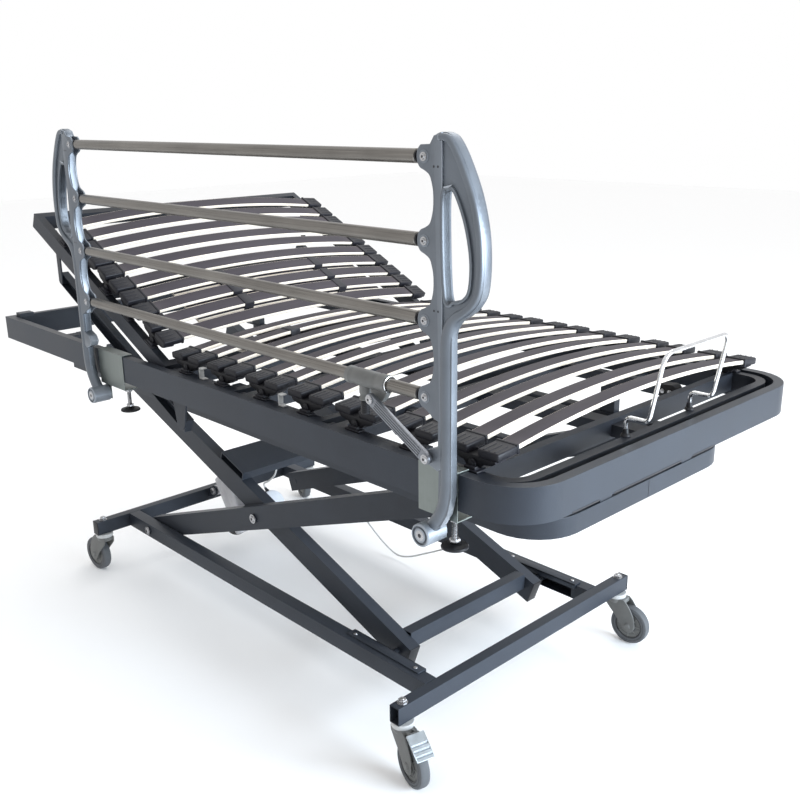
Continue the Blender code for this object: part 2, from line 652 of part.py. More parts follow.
def slat_pair(offset):
    """Two sprung slats with the rubber caps and rockers that hold their ends, centred on x = 0."""
    steps = 8
    crown = []
    for step in range(steps + 1):
        y = -SLAT_HALF + 2 * SLAT_HALF * step / steps
        crown.append((y, SLAT_END_TOP + SLAT_CROWN * (1 - (y / SLAT_HALF) ** 2)))
    outline = crown + [(y, z - SLAT_THICK) for y, z in reversed(crown)]
    pair = plate([outline], "X", offset - SLAT_WIDE / 2, offset + SLAT_WIDE / 2)
    for side in (-1, 1):
        ends = sorted((side * (SLAT_HALF - 0.010), side * CAP_END))
        rocker = sorted((side * (SLAT_HALF + 0.006), side * (CAP_END - 0.006)))
        foot = sorted((side * (DECK_WIDE - DECK_TUBE + 0.002), side * (CAP_END - 0.006)))
        bridge = box((-0.048, rocker[0], 0.760), (0.048, rocker[1], SLAT_END_TOP - 0.010))
        for place in (-offset, offset):
            low = (place - 0.023, ends[0], SLAT_END_TOP - 0.0125)
            join(bridge, box(low, (place + 0.023, ends[1], SLAT_END_TOP + 0.0035)))
        join(bridge, box((-0.020, foot[0], DECK_TOP + GAP), (0.020, foot[1], 0.762)))
        join(pair, bridge)
    return join(pair, plate([outline], "X", -offset - SLAT_WIDE / 2, SLAT_WIDE / 2 - offset))


def deck():
    lift = about((BACK_HINGE, 0.0, HINGE_Z), BACK_ANGLE)
    back = deck_frame(BACK_HINGE - BACK_LONG, BACK_HINGE - HINGE_GAP, [BACK_HINGE - 0.36])
    finish(moved(back, lift), "back_frame", "deck_paint", "back_section")
    seat = deck_frame(BACK_HINGE + HINGE_GAP, THIGH_HINGE - HINGE_GAP, [])
    for side in (-1, 1):
        for x in (-0.06, 0.12):
            ends = sorted((side * (DECK_WIDE - 0.001), side * (FRAME_WIDE - RAIL_WIDE - GAP)))
            join(seat, box((x - 0.015, ends[0], DECK_BOTTOM + 0.005), (x + 0.015, ends[1], DECK_TOP - 0.005)))
    finish(seat, "seat_frame", "deck_paint", "bed_frame")
    thigh = deck_frame(THIGH_HINGE + HINGE_GAP, LEG_HINGE - HINGE_GAP, [])
    finish(thigh, "thigh_frame", "deck_paint", "thigh_section")
    leg = deck_frame(LEG_HINGE + HINGE_GAP, DECK_FOOT, [0.8343], 0.0615)
    join(leg, box((0.4885, -0.046, DECK_BOTTOM + 0.006), (0.918, -0.006, DECK_BOTTOM + 0.030)))
    finish(leg, "leg_frame", "deck_paint", "leg_section")

    flat_pair = slat_pair(SLAT_OFFSET)
    flat_bodies = ["bed_frame", "bed_frame", "thigh_section", "thigh_section"] + ["leg_section"] * 3
    for number, body in enumerate(flat_bodies):
        pair = moved(copied(flat_pair), Matrix.Translation((PAIR_FIRST + PAIR_PITCH * number, 0, 0)))
        finish(pair, "slat_pair_%02d" % (number + 6), "slat_wood", body)
    bpy.data.objects.remove(flat_pair)
    back_pair = slat_pair(BACK_SLAT_OFFSET)
    for number in range(5):
        distance = BACK_PAIR_FIRST + BACK_PAIR_PITCH * number
        pair = moved(copied(back_pair), lift @ Matrix.Translation((BACK_HINGE - distance, 0, 0)))
        finish(pair, "slat_pair_%02d" % (5 - number), "slat_wood", "back_section")
    bpy.data.objects.remove(back_pair)

    link_y = DECK_WIDE - DECK_TUBE - 0.0015
    low, high = -link_y, 0.004 - link_y
    x, z = link_top
    link = arc((x, z), 0.010, 0, 180, 8) + arc((x, z - LINK_LONG), 0.010, 180, 360, 8)
    both_sides(plate([link], "Y", low, high), "back_link", "deck_paint", "back_links")
    lever = plate([rectangle(-0.014, LINK_AT + 0.012, -LEVER_HALF, LEVER_HALF)], "Y", -LEVER_Y - 0.020, -LEVER_Y)
    hollow = LEVER_HALF - WALL
    cut(lever, box((0.010, -LEVER_Y - 0.0175, -hollow), (LINK_AT, -LEVER_Y + 0.01, hollow)))
    lever.data.transform(Matrix.Rotation(math.pi, 4, "Z") @ Matrix.Translation((0, 2 * LEVER_Y + 0.020, 0)))
    slope = Matrix.Translation((lever_pivot[0], 0.0, lever_pivot[1])) @ Matrix.Rotation(BACK_ANGLE, 4, "Y")
    both_sides(moved(lever, slope), "back_lever", "deck_paint", "back_levers")


def lever_hanger():
    """A plate under the near frame rail that carries a lever's pivot."""
    x, z = lever_pivot
    top = FRAME_BOTTOM + 0.001
    outline = [(x - 0.035, top), (x - 0.016, z - 0.006)] + arc((x, z), 0.016, 200, 340, 6)
    outline += [(x + 0.016, z - 0.006), (x + 0.035, top)]
    low = -LEVER_Y - 0.020 - 0.0045
    hanger = plate([outline], "Y", low, low + 0.004)
    return join(hanger, box((x - 0.035, -FRAME_WIDE + 0.004, FRAME_BOTTOM - 0.004), (x + 0.035, low + 0.001, top)))


def retainer():
    half, bend, steps = 0.110, 0.022, 5
    x0, x1, x2 = 0.916, 0.962, RETAINER_OUT - 0.004
    z0, z1, z2, z3 = DECK_TOP + GAP, 0.780, 0.780, 0.908
    near = [Vector((x0, -half, z0)), Vector((x0, -half, z1 - 0.006)), Vector((x0 + 0.006, -half, z1))]
    near += [Vector((x1 - 0.006, -half, z2)), Vector((x1, -half, z2 + 0.006))]
    lean = (x2 - x1) / (z3 - z2)
    for step in range(steps + 1):
        angle = math.pi / 2 * step / steps
        z = z3 - bend + bend * math.sin(angle)
        near.append(Vector((x1 + (z - z2) * lean, -half + bend - bend * math.cos(angle), z)))
    far = [Vector((point.x, -point.y, point.z)) for point in reversed(near)]
    finish(wire(near + far, 0.004), "mattress_retainer", "chrome", "leg_section")


# ---- side guard ----
def guard_post():
    """The foot post, with its lowest bolt column at x = 0."""
    outline = [(0.012, 1.262), (0.020, 1.275), (0.036, 1.280), (0.054, 1.274), (0.076, 1.245), (0.100, 1.195)]
    outline += [(0.114, 1.145), (0.119, 1.098), (0.1155, 1.052), (0.104, 1.028), (0.084, 1.012), (0.062, 1.000)]
    outline += [(0.055, 0.985), (0.054, 0.860), (0.054, 0.715), (0.046, 0.682), (0.030, 0.655)]
    outline += arc((0.0, BOSS_Z), BOSS, 10, -200, 12)
    outline += [(0.014, 0.672), (0.025, 0.700), (0.026, 0.754), (0.004, 0.762), (-0.002, 0.7734), (0.006, 0.786)]
    outline += [(0.028, 0.794), (0.028, 0.838)]
    for number, z in enumerate(BAR_HEIGHTS):
        outline += arc((0.0, z), 0.016, 250, 110, 6)
        if number < len(BAR_HEIGHTS) - 1:
            following = BAR_HEIGHTS[number + 1]
            outline += [(0.014, z + 0.026), (0.019, (z + following) / 2), (0.014, following - 0.026)]
    slot = [(0.036, 1.180), (0.048, 1.196), (0.060, 1.192), (0.080, 1.150), (0.091, 1.100), (0.089, 1.056)]
    slot += [(0.078, 1.040), (0.060, 1.034), (0.042, 1.040)]
    post = plate([outline, slot], "Y", POST_NEAR, POST_FAR)
    for z in BAR_HEIGHTS:
        cut(post, box((-0.03, POST_MID - EAR_SLOT, z - 0.030), (0.0125, POST_MID + EAR_SLOT, z + 0.030)))
        join(post, rod((0, POST_NEAR - BOLT_PROUD, z), (0, POST_NEAR + 0.001, z), 0.0065, 12))
    join(post, rod((0, -0.508, BOSS_Z), (0, -0.461, BOSS_Z), BOSS - 0.001, 20))
    return cut(post, rod((0, -0.52, BOSS_Z), (0, -0.45, BOSS_Z), 0.0066, 12))


def guard():
    post = guard_post()
    head = copied(post)
    head.data.transform(Matrix.Scale(-1.0, 4, (1, 0, 0)))
    head.data.flip_normals()
    finish(moved(head, Matrix.Translation((HEAD_POST_X, 0, 0))), "guard_head_post", "guard_cast", "guard_head_post")
    finish(moved(post, Matrix.Translation((FOOT_POST_X, 0, 0))), "guard_foot_post", "guard_cast", "guard_foot_post")
    for number, z in enumerate(BAR_HEIGHTS, start=1):
        bar = rod((HEAD_POST_X + 0.022, POST_MID, z), (FOOT_POST_X - 0.022, POST_MID, z), BAR, 16)
        half = EAR_SLOT - 0.0005
        for bolt, inward in ((HEAD_POST_X, 1), (FOOT_POST_X, -1)):
            ends = sorted((bolt, bolt + inward * 0.030))
            join(bar, box((ends[0], POST_MID - half, z - 0.0085), (ends[1], POST_MID + half, z + 0.0085)))
            join(bar, rod((bolt, POST_MID - half, z), (bolt, POST_MID + half, z), 0.0105, 16))
        finish(bar, "guard_bar_%d" % number, "bar_steel", "guard_bar_%d" % number)

    z = BAR_HEIGHTS[0]
    sleeve = rod((0.595, POST_MID, z), (0.6935, POST_MID, z), 0.0155, 20)
    join(sleeve, rod((0.634, POST_MID, z), (0.634, POST_MID, 0.834), 0.0105, 16))
    ear = [(0.655, z - 0.010), (0.692, z - 0.010), (0.684, z - 0.032), (0.660, z - 0.036)]
    join(sleeve, plate([ear], "Y", POST_MID - 0.006, POST_MID + 0.006))
    cut(sleeve, rod((0.58, POST_MID, z), (0.71, POST_MID, z), BAR + 0.0006, 20))
    finish(sleeve, "latch_sleeve", "guard_cast", "latch_sleeve")
    knob = rod((0.634, POST_MID, 0.834 - 0.001), (0.634, POST_MID, 0.808), 0.0085, 16)
    finish(knob, "latch_knob", "black_rubber", "latch_knob")

    along = Vector((STRUT_SLEEVE[0] - STRUT_POST[0], 0.0, STRUT_SLEEVE[1] - STRUT_POST[1]))
    tilt = math.degrees(math.atan2(along.z, along.x))
    strut = arc(STRUT_POST, 0.010, tilt - 90, tilt - 270, 8) + arc(STRUT_SLEEVE, 0.010, tilt + 90, tilt - 90, 8)
    brace = plate([strut], "Y", STRUT_NEAR, STRUT_FAR)
    for x, z in (STRUT_POST, STRUT_SLEEVE):
        join(brace, rod((x, GUARD_OUT, z), (x, STRUT_NEAR + 0.001, z), 0.0065, 12))
    finish(brace, "guard_strut", "guard_cast", "guard_strut")


def guard_brackets():
    """Zinc clamps on the near rail, each with the pin that its post turns on."""
    inner = -FRAME_WIDE - GAP
    outer = inner - 0.0018
    floor = FRAME_BOTTOM - 0.021
    for name, pin_x, left, right in (("foot", FOOT_POST_X, 0.748, 0.838), ("head", HEAD_POST_X, -0.392, -0.271)):
        section = [(outer, floor), (inner + 0.034, floor), (inner + 0.034, floor + 0.0025), (inner, floor + 0.0025)]
        section += [(inner, FRAME_TOP + GAP), (inner + 0.026, FRAME_TOP + GAP), (inner + 0.026, CLAMP_TOP)]
        section += [(outer, CLAMP_TOP)]
        clamp = plate([section], "X", left, right)
        cheek = box((pin_x - 0.014, -0.4600, 0.622), (pin_x + 0.014, -0.4570, floor + 0.001))
        join(cheek, rod((pin_x, -0.507, BOSS_Z), (pin_x, -0.4585, BOSS_Z), 0.006, 12))
        screw_x = pin_x + 0.022 if name == "foot" else right - 0.025
        join(clamp, cheek, rod((screw_x, -0.446, 0.612), (screw_x, -0.446, floor + 0.001), 0.004, 12))
        finish(clamp, "guard_clamp_" + name, "zinc", "bed_frame")
        disc = rod((screw_x, -0.446, 0.602), (screw_x, -0.446, 0.612 - GAP), 0.024, 24)
        finish(disc, "clamp_disc_" + name, "black_rubber", "bed_frame")


chassis()
for corner in CASTERS:
    caster(corner)
scissor()
lift_drive()
rail_cable()
bed_frame()
deck()
retainer()
guard()
guard_brackets()
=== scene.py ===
"""The adjustable bed's looks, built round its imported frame."""
import math

import bmesh
import bpy
from mathutils import Matrix, Vector


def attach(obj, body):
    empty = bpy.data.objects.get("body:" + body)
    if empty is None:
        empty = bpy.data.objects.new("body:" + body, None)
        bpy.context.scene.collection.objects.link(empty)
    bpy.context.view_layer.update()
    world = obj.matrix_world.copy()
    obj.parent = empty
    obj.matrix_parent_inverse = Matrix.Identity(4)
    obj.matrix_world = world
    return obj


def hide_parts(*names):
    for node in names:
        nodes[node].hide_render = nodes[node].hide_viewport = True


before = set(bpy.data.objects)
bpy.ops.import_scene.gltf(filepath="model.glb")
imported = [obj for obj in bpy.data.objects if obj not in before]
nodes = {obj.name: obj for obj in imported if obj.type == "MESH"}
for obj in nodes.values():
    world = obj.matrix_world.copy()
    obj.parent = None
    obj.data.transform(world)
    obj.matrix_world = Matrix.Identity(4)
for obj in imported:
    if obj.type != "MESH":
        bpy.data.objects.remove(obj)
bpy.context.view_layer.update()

# ---- the sizes that part.py works with, in metres, before the shift to the outline's middle ----
SHIFT = Vector((-0.00725, 0.02075, 0.0))
TUBE_BOTTOM, TUBE_TOP = 0.128, 0.168
LIFT_ANGLE = math.radians(20.15)
LOWER_HALF, UPPER_HALF = 0.5226, 0.8081
PIVOT = (-0.5416, 0.148)
CENTRE = (PIVOT[0] + LOWER_HALF * math.cos(LIFT_ANGLE), PIVOT[1] + LOWER_HALF * math.sin(LIFT_ANGLE))
HINGE_Z = 0.728
BACK_HINGE = -0.1076
BACK_ANGLE = math.radians(26.0)
DECK_TOP = 0.743
DRIVE_BASE = (-0.622, 0.168)
DRIVE_TIP_ALONG, DRIVE_TIP_UP = 0.214, 0.012
MOTOR_DROP = -0.122
POST_MID = -0.483
FOOT_POST_X, HEAD_POST_X = 0.789, -0.3765
BOSS_Z = 0.637
BAR_HEIGHTS = [0.873, 0.997, 1.12, 1.244]
STRUT_POST, STRUT_SLEEVE = (0.7985, 0.7734), (0.668, 0.846)
CASTERS = {
    "near_foot": (0.6075, -0.38, -14.0),
    "far_foot": (0.6075, 0.38, 6.0),
    "near_head": (-0.6665, -0.38, 186.0),
    "far_head": (-0.6665, 0.38, 162.0),
}
CASTER_TRAIL, WHEEL = 0.042, 0.05
PEDAL_HINGE, PEDAL_TILT = (0.048, 0.0, 0.1245), math.radians(37)


# ---- camera, light and floor ----
def camera():
    data = bpy.data.cameras.new("camera")
    data.sensor_width = 36.0
    data.lens = 42.684
    data.clip_start, data.clip_end = 0.05, 60.0
    cam = bpy.data.objects.new("camera", data)
    bpy.context.scene.collection.objects.link(cam)
    yaw, pitch, roll = math.radians(46.479), math.radians(16.891), math.radians(-0.732)
    turn = Matrix.Rotation(yaw, 4, "Z") @ Matrix.Rotation(math.pi / 2 - pitch, 4, "X") @ Matrix.Rotation(roll, 4, "Z")
    cam.matrix_world = Matrix.Translation(Vector((1.8084, -1.5164, 1.3071)) + SHIFT) @ turn
    bpy.context.scene.camera = cam


def area_light(name, place, aim, size, power, colour=(1.0, 1.0, 1.0)):
    data = bpy.data.lights.new(name, "AREA")
    data.shape = "RECTANGLE"
    data.size, data.size_y = size
    data.energy = power
    data.color = colour
    lamp = bpy.data.objects.new(name, data)
    bpy.context.scene.collection.objects.link(lamp)
    lamp.location = place
    lamp.rotation_mode = "QUATERNION"
    lamp.rotation_quaternion = (Vector(aim) - Vector(place)).to_track_quat("-Z", "Y")


def studio():
    world = bpy.data.worlds.new("studio")
    bpy.context.scene.world = world
    world.use_nodes = True
    background = world.node_tree.nodes["Background"]
    background.inputs["Color"].default_value = (1.0, 1.0, 1.0, 1.0)
    background.inputs["Strength"].default_value = 1.0
    area_light("key", (4.4, 0.9, 1.3), (0.4, 0.0, 0.6), (2.6, 1.8), 360.0, (0.78, 0.89, 1.0))
    area_light("top", (-0.4, 1.6, 3.4), (0.0, 0.0, 0.7), (2.4, 2.0), 34.0)
    bpy.context.scene.view_settings.view_transform = "Standard"
    bm = bmesh.new()
    bmesh.ops.create_grid(bm, x_segments=1, y_segments=1, size=14.0)
    mesh = bpy.data.meshes.new("floor")
    bm.to_mesh(mesh)
    bm.free()
    floor = bpy.data.objects.new("floor", mesh)
    bpy.context.scene.collection.objects.link(floor)
    paint = bpy.data.materials.new("floor_pale")
    paint.use_nodes = True
    shader = paint.node_tree.nodes["Principled BSDF"]
    shader.inputs["Base Color"].default_value = (0.97, 0.97, 0.97, 1.0)
    noise = paint.node_tree.nodes.new("ShaderNodeTexNoise")
    noise.inputs["Scale"].default_value = 3.0
    ramp = paint.node_tree.nodes.new("ShaderNodeMapRange")
    ramp.inputs["To Min"].default_value = 0.7
    ramp.inputs["To Max"].default_value = 0.8
    paint.node_tree.links.new(noise.outputs["Fac"], ramp.inputs["Value"])
    paint.node_tree.links.new(ramp.outputs["Result"], shader.inputs["Roughness"])
    floor.data.materials.append(paint)


camera()
studio()


# ---- materials ----
class Nodes:
    """A material's node tree, with short names for what the materials here use."""

    def __init__(self, name, metallic=0.0, roughness=0.5, specular=0.5, coat=0.0, coat_roughness=0.1):
        self.material = bpy.data.materials.new(name)
        self.material.use_nodes = True
        self.tree = self.material.node_tree
        self.shader = self.tree.nodes["Principled BSDF"]
        values = {"Metallic": metallic, "Roughness": roughness, "Specular IOR Level": specular}
        values.update({"Coat Weight": coat, "Coat Roughness": coat_roughness})
        for socket, value in values.items():
            self.shader.inputs[socket].default_value = value
        coordinates = self.tree.nodes.new("ShaderNodeTexCoord")
        self.place = coordinates.outputs["Object"]

    def link(self, source, target):
        self.tree.links.new(source, target)

    def make(self, kind, values):
        """A new node, each of its named sockets set to a number or linked to another node's output."""
        node = self.tree.nodes.new(kind)
        for name, value in values.items():
            if isinstance(value, bpy.types.NodeSocket):
                self.link(value, node.inputs[name])
            else:
                node.inputs[name].default_value = value
        return node

    def stretched(self, scale):
        return self.make("ShaderNodeMapping", {"Scale": scale, "Vector": self.place}).outputs["Vector"]

    def noise(self, scale, detail=3.0, roughness=0.5, vector=None):
        values = {"Scale": scale, "Detail": detail, "Roughness": roughness, "Vector": vector or self.place}
        return self.make("ShaderNodeTexNoise", values).outputs["Fac"]

    def bands(self, scale, vector, distortion, detail):
        """Bands across the vector's Z."""
        values = {"Scale": scale, "Distortion": distortion, "Detail": detail, "Vector": vector}
        node = self.make("ShaderNodeTexWave", values)
        node.wave_type = "BANDS"
        node.bands_direction = "Z"
        return node.outputs["Fac"]

    def range(self, value, low, high, start=0.0, end=1.0):
        values = {"Value": value, "From Min": start, "From Max": end, "To Min": low, "To Max": high}
        return self.make("ShaderNodeMapRange", values).outputs["Result"]

    def ramp(self, value, stops):
        node = self.make("ShaderNodeValToRGB", {"Fac": value})
        elements = node.color_ramp.elements
        for element, (position, colour) in zip(elements, stops):
            element.position = position
            element.color = (*colour, 1.0)
        return node.outputs["Color"]

    def mix(self, share, first, second):
        node = self.tree.nodes.new("ShaderNodeMix")
        node.data_type = "RGBA"
        for value, socket in ((share, node.inputs[0]), (first, node.inputs[6]), (second, node.inputs[7])):
            if isinstance(value, (int, float)):
                socket.default_value = value
            elif isinstance(value, tuple):
                socket.default_value = (*value, 1.0)
            else:
                self.link(value, socket)
        return node.outputs[2]

    def add(self, first, second, share=1.0):
        node = self.tree.nodes.new("ShaderNodeMath")
        node.operation = "MULTIPLY_ADD"
        self.link(second, node.inputs[0])
        node.inputs[1].default_value = share
        self.link(first, node.inputs[2])
        return node.outputs["Value"]

    def edges(self, low=0.52, high=0.62):
        """How sharply the surface turns outwards: the mask for paler edges, partly rubbed and partly a painted
        highlight.
        """
        geometry = self.tree.nodes.new("ShaderNodeNewGeometry")
        return self.range(geometry.outputs["Pointiness"], 0.0, 1.0, low, high)

    def bump(self, height, strength, distance):
        node = self.make("ShaderNodeBump", {"Strength": strength, "Distance": distance, "Height": height})
        self.link(node.outputs["Normal"], self.shader.inputs["Normal"])

    def colour(self, value):
        self.link(value, self.shader.inputs["Base Color"])

    def rough(self, value):
        self.link(value, self.shader.inputs["Roughness"])


def powder_coat(name, dark, light, worn_and_highlight, roughness):
    """Satin powder coat: orange peel, cloudy tone, and paler edges that are partly rubbed and partly a painted
    highlight.
    """
    m = Nodes(name, metallic=0.15, specular=0.26)
    clouds = m.noise(5.0, 4.0, 0.6)
    peel = m.noise(420.0, 2.0, 0.5)
    grit = m.noise(1300.0, 1.0, 0.5)
    tone = m.ramp(clouds, [(0.3, dark), (0.72, light)])
    # paler edges: partly rubbed paint and partly a painted highlight
    m.colour(m.mix(m.range(m.edges(), 0.0, 0.25), tone, worn_and_highlight))
    m.rough(m.range(m.add(clouds, grit, 0.5), roughness - 0.07, roughness + 0.09, 0.4, 1.1))
    m.bump(m.add(peel, grit, 0.4), 0.22, 0.0006)
    return m.material


def brushed(name, dark, light, roughness, axis="X", metallic=1.0):
    """Drawn or brushed metal with its grain along an axis."""
    m = Nodes(name, metallic=metallic)
    fine = {"X": (6.0, 900.0, 900.0), "Y": (900.0, 6.0, 900.0), "Z": (900.0, 900.0, 6.0)}[axis]
    grain = m.noise(1.0, 4.0, 0.65, m.stretched(fine))
    clouds = m.noise(9.0, 3.0, 0.55)
    tone = m.ramp(m.add(m.range(grain, 0.0, 0.7), clouds, 0.3), [(0.3, dark), (0.7, light)])
    m.colour(tone)
    m.rough(m.range(grain, roughness - 0.07, roughness + 0.1, 0.35, 0.65))
    m.bump(grain, 0.1, 0.0003)
    return m.material


def cast_lacquer(name, dark, light):
    """Silver lacquer over a casting: faint flow marks, fine sparkle, and pale bluish edges that are partly rubbed and
    partly a painted rim highlight.
    """
    m = Nodes(name, metallic=0.55, specular=0.55, coat=0.25, coat_roughness=0.25)
    clouds = m.noise(14.0, 5.0, 0.6)
    sparkle = m.noise(2600.0, 1.0, 0.5)
    skin = m.noise(260.0, 3.0, 0.55)
    tone = m.ramp(m.add(m.range(clouds, 0.0, 0.8), sparkle, 0.25), [(0.28, dark), (0.74, light)])
    # painted rim highlight: convex edges mixed towards a pale blue, with some rubbing
    m.colour(m.mix(m.range(m.edges(), 0.0, 0.45), tone, (0.7, 0.76, 0.84)))
    m.rough(m.range(clouds, 0.34, 0.5, 0.3, 0.7))
    m.bump(m.add(skin, sparkle, 0.3), 0.12, 0.0005)
    return m.material


def zinc_plate(name, dark, light):
    m = Nodes(name, metallic=0.85, specular=0.5)
    cells = m.make("ShaderNodeTexVoronoi", {"Scale": 90.0, "Vector": m.place})
    clouds = m.noise(28.0, 4.0, 0.6)
    streaks = m.noise(1.0, 3.0, 0.6, m.stretched((500.0, 500.0, 8.0)))
    tone = m.ramp(m.add(m.range(clouds, 0.0, 0.7), streaks, 0.3), [(0.3, dark), (0.72, light)])
    flakes = m.mix(m.range(cells.outputs["Distance"], 0.0, 0.16, 0.0, 0.8), tone, light)
    # paler edges: partly rubbed plating and partly a painted highlight
    m.colour(m.mix(m.range(m.edges(0.51, 0.58), 0.0, 0.25), flakes, (0.55, 0.59, 0.57)))
    m.rough(m.range(clouds, 0.3, 0.48, 0.3, 0.7))
    m.bump(m.add(clouds, streaks, 0.4), 0.1, 0.0004)
    return m.material


def moulded(name, dark, light, roughness, grain=900.0, edge=(0.16, 0.16, 0.17), specular=0.45):
    """Moulded plastic or rubber with a fine spark-eroded grain, and paler edges that are partly rubbed and partly a
    painted highlight.
    """
    m = Nodes(name, specular=specular)
    clouds = m.noise(22.0, 4.0, 0.6)
    skin = m.noise(grain, 2.0, 0.6)
    tone = m.ramp(clouds, [(0.32, dark), (0.7, light)])
    # paler edges: partly rubbed and partly a painted highlight
    m.colour(m.mix(m.range(m.edges(), 0.0, 0.4), tone, edge))
    m.rough(m.range(m.add(clouds, skin, 0.6), roughness - 0.08, roughness + 0.1, 0.5, 1.1))
    m.bump(skin, 0.18, 0.0004)
    return m.material


def polished(name):
    m = Nodes(name, metallic=1.0, roughness=0.12)
    haze = m.noise(60.0, 4.0, 0.6)
    scuff = m.noise(700.0, 2.0, 0.6)
    m.colour(m.ramp(haze, [(0.3, (0.66, 0.67, 0.69)), (0.7, (0.82, 0.83, 0.85))]))
    m.rough(m.range(m.add(haze, scuff, 0.4), 0.07, 0.22, 0.4, 1.0))
    m.bump(scuff, 0.03, 0.0002)
    return m.material


def slat_foil():
    """Dark printed foil over the slat's faces: grain that runs across the bed, and paler edges that are partly rubbed
    and partly a painted highlight.
    """
    m = Nodes("slat_foil", specular=0.24)
    grain = m.noise(1.0, 5.0, 0.62, m.stretched((420.0, 9.0, 420.0)))
    bands = m.noise(1.0, 3.0, 0.5, m.stretched((60.0, 2.0, 60.0)))
    clouds = m.noise(6.0, 3.0, 0.5)
    stops = [(0.28, (0.022, 0.0185, 0.025)), (0.74, (0.046, 0.039, 0.051))]
    tone = m.ramp(m.add(m.range(grain, 0.0, 0.6), bands, 0.4), stops)
    # paler edges: partly rubbed foil and partly a painted highlight
    m.colour(m.mix(m.range(m.edges(0.53, 0.66), 0.0, 0.35), tone, (0.3, 0.26, 0.24)))
    m.rough(m.range(m.add(grain, clouds, 0.6), 0.48, 0.66, 0.4, 1.1))
    m.bump(grain, 0.2, 0.0004)
    return m.material


def slat_edge():
    """Bare laminated birch at the slat's long edges: pale plies, glue lines and end-grain flecks."""
    m = Nodes("slat_edge", specular=0.35)
    plies = m.tree.nodes.new("ShaderNodeAttribute")
    plies.attribute_name = "ply"
    lines = m.bands(0.62, plies.outputs["Vector"], 0.6, 1.0)
    fleck = m.noise(1.0, 5.0, 0.65, m.stretched((900.0, 26.0, 900.0)))
    clouds = m.noise(11.0, 3.0, 0.5)
    stops = [(0.28, (0.7, 0.61, 0.5)), (0.72, (0.96, 0.91, 0.82))]
    wood = m.ramp(m.add(m.range(fleck, 0.0, 0.6), clouds, 0.4), stops)
    m.colour(m.mix(m.range(lines, 0.0, 0.34, 0.3, 0.9), wood, (0.5, 0.39, 0.29)))
    m.rough(m.range(fleck, 0.5, 0.68, 0.3, 0.7))
    m.bump(fleck, 0.22, 0.0004)
    return m.material


def floor_cable(name, dark, light):
    m = Nodes(name, specular=0.4)
    clouds = m.noise(40.0, 3.0, 0.5)
    skin = m.noise(1500.0, 2.0, 0.5)
    m.colour(m.ramp(clouds, [(0.3, dark), (0.7, light)]))
    m.rough(m.range(clouds, 0.38, 0.52, 0.3, 0.7))
    m.bump(skin, 0.08, 0.0002)
    return m.material


FRAME_PAINT = powder_coat("frame_coat", (0.017, 0.0205, 0.0275), (0.028, 0.0335, 0.044), (0.1, 0.12, 0.155), 0.4)
DECK_PAINT = powder_coat("deck_coat", (0.013, 0.0145, 0.019), (0.022, 0.025, 0.032), (0.075, 0.09, 0.12), 0.42)
SATIN_PAINT = powder_coat("channel_coat", (0.09, 0.115, 0.15), (0.13, 0.16, 0.205), (0.25, 0.3, 0.37), 0.36)
CAST = cast_lacquer("cast_silver", (0.088, 0.101, 0.12), (0.134, 0.153, 0.178))
BAR_STEEL = brushed("bar_steel_drawn", (0.105, 0.098, 0.09), (0.27, 0.255, 0.235), 0.34)
STRUT_METAL = brushed("strut_drawn", (0.13, 0.14, 0.155), (0.3, 0.31, 0.34), 0.36, "X", 0.9)
BRIGHT = brushed("bright_steel", (0.3, 0.3, 0.31), (0.56, 0.56, 0.57), 0.28, "Y")
ZINC = zinc_plate("zinc_yellowed", (0.092, 0.106, 0.1), (0.158, 0.18, 0.172))
BRIGHT_ZINC = zinc_plate("zinc_bright", (0.3, 0.33, 0.36), (0.46, 0.5, 0.54))
CHROME = polished("chrome_wire")
BLACK = moulded(
    "black_moulded", (0.0035, 0.0035, 0.0045), (0.008, 0.008, 0.01), 0.42, edge=(0.05, 0.05, 0.06), specular=0.3
)
CAP_RUBBER = moulded(
    "cap_rubber", (0.0035, 0.0035, 0.005), (0.008, 0.008, 0.011), 0.46, 1400.0, (0.05, 0.05, 0.065), 0.26
)
FORK_GREY = moulded(
    "caster_moulded", (0.098, 0.1, 0.098), (0.135, 0.138, 0.135), 0.44, 1100.0, (0.24, 0.245, 0.245), 0.35
)
COLLAR_GREY = moulded("collar_moulded", (0.34, 0.35, 0.35), (0.46, 0.47, 0.47), 0.4, 1100.0, (0.62, 0.62, 0.62))
TYRE_GREY = moulded(
    "tyre_rubber", (0.062, 0.067, 0.074), (0.092, 0.098, 0.106), 0.58, 1600.0, (0.15, 0.155, 0.165), 0.3
)
HUB_GREY = moulded("hub_moulded", (0.095, 0.098, 0.096), (0.13, 0.134, 0.132), 0.46, 1300.0, (0.22, 0.225, 0.225), 0.32)
MOTOR_GREY = moulded("motor_moulded", (0.4, 0.4, 0.42), (0.52, 0.52, 0.54), 0.44, 900.0, (0.66, 0.66, 0.68))
MOTOR_BLUE = moulded("motor_blue_grey", (0.22, 0.27, 0.34), (0.32, 0.37, 0.44), 0.4, 900.0, (0.5, 0.54, 0.6))
MOTOR_PALE = moulded("motor_end_pale", (0.58, 0.62, 0.68), (0.74, 0.78, 0.84), 0.36, 900.0, (0.9, 0.92, 0.95))
CABLE = floor_cable("cable_jacket", (0.5, 0.5, 0.5), (0.64, 0.64, 0.63))
FOIL = slat_foil()
BIRCH = slat_edge()


# ---- shapes ----
def new_object(name, mesh):
    piece = bpy.data.objects.new(name, mesh)
    bpy.context.scene.collection.objects.link(piece)
    return piece


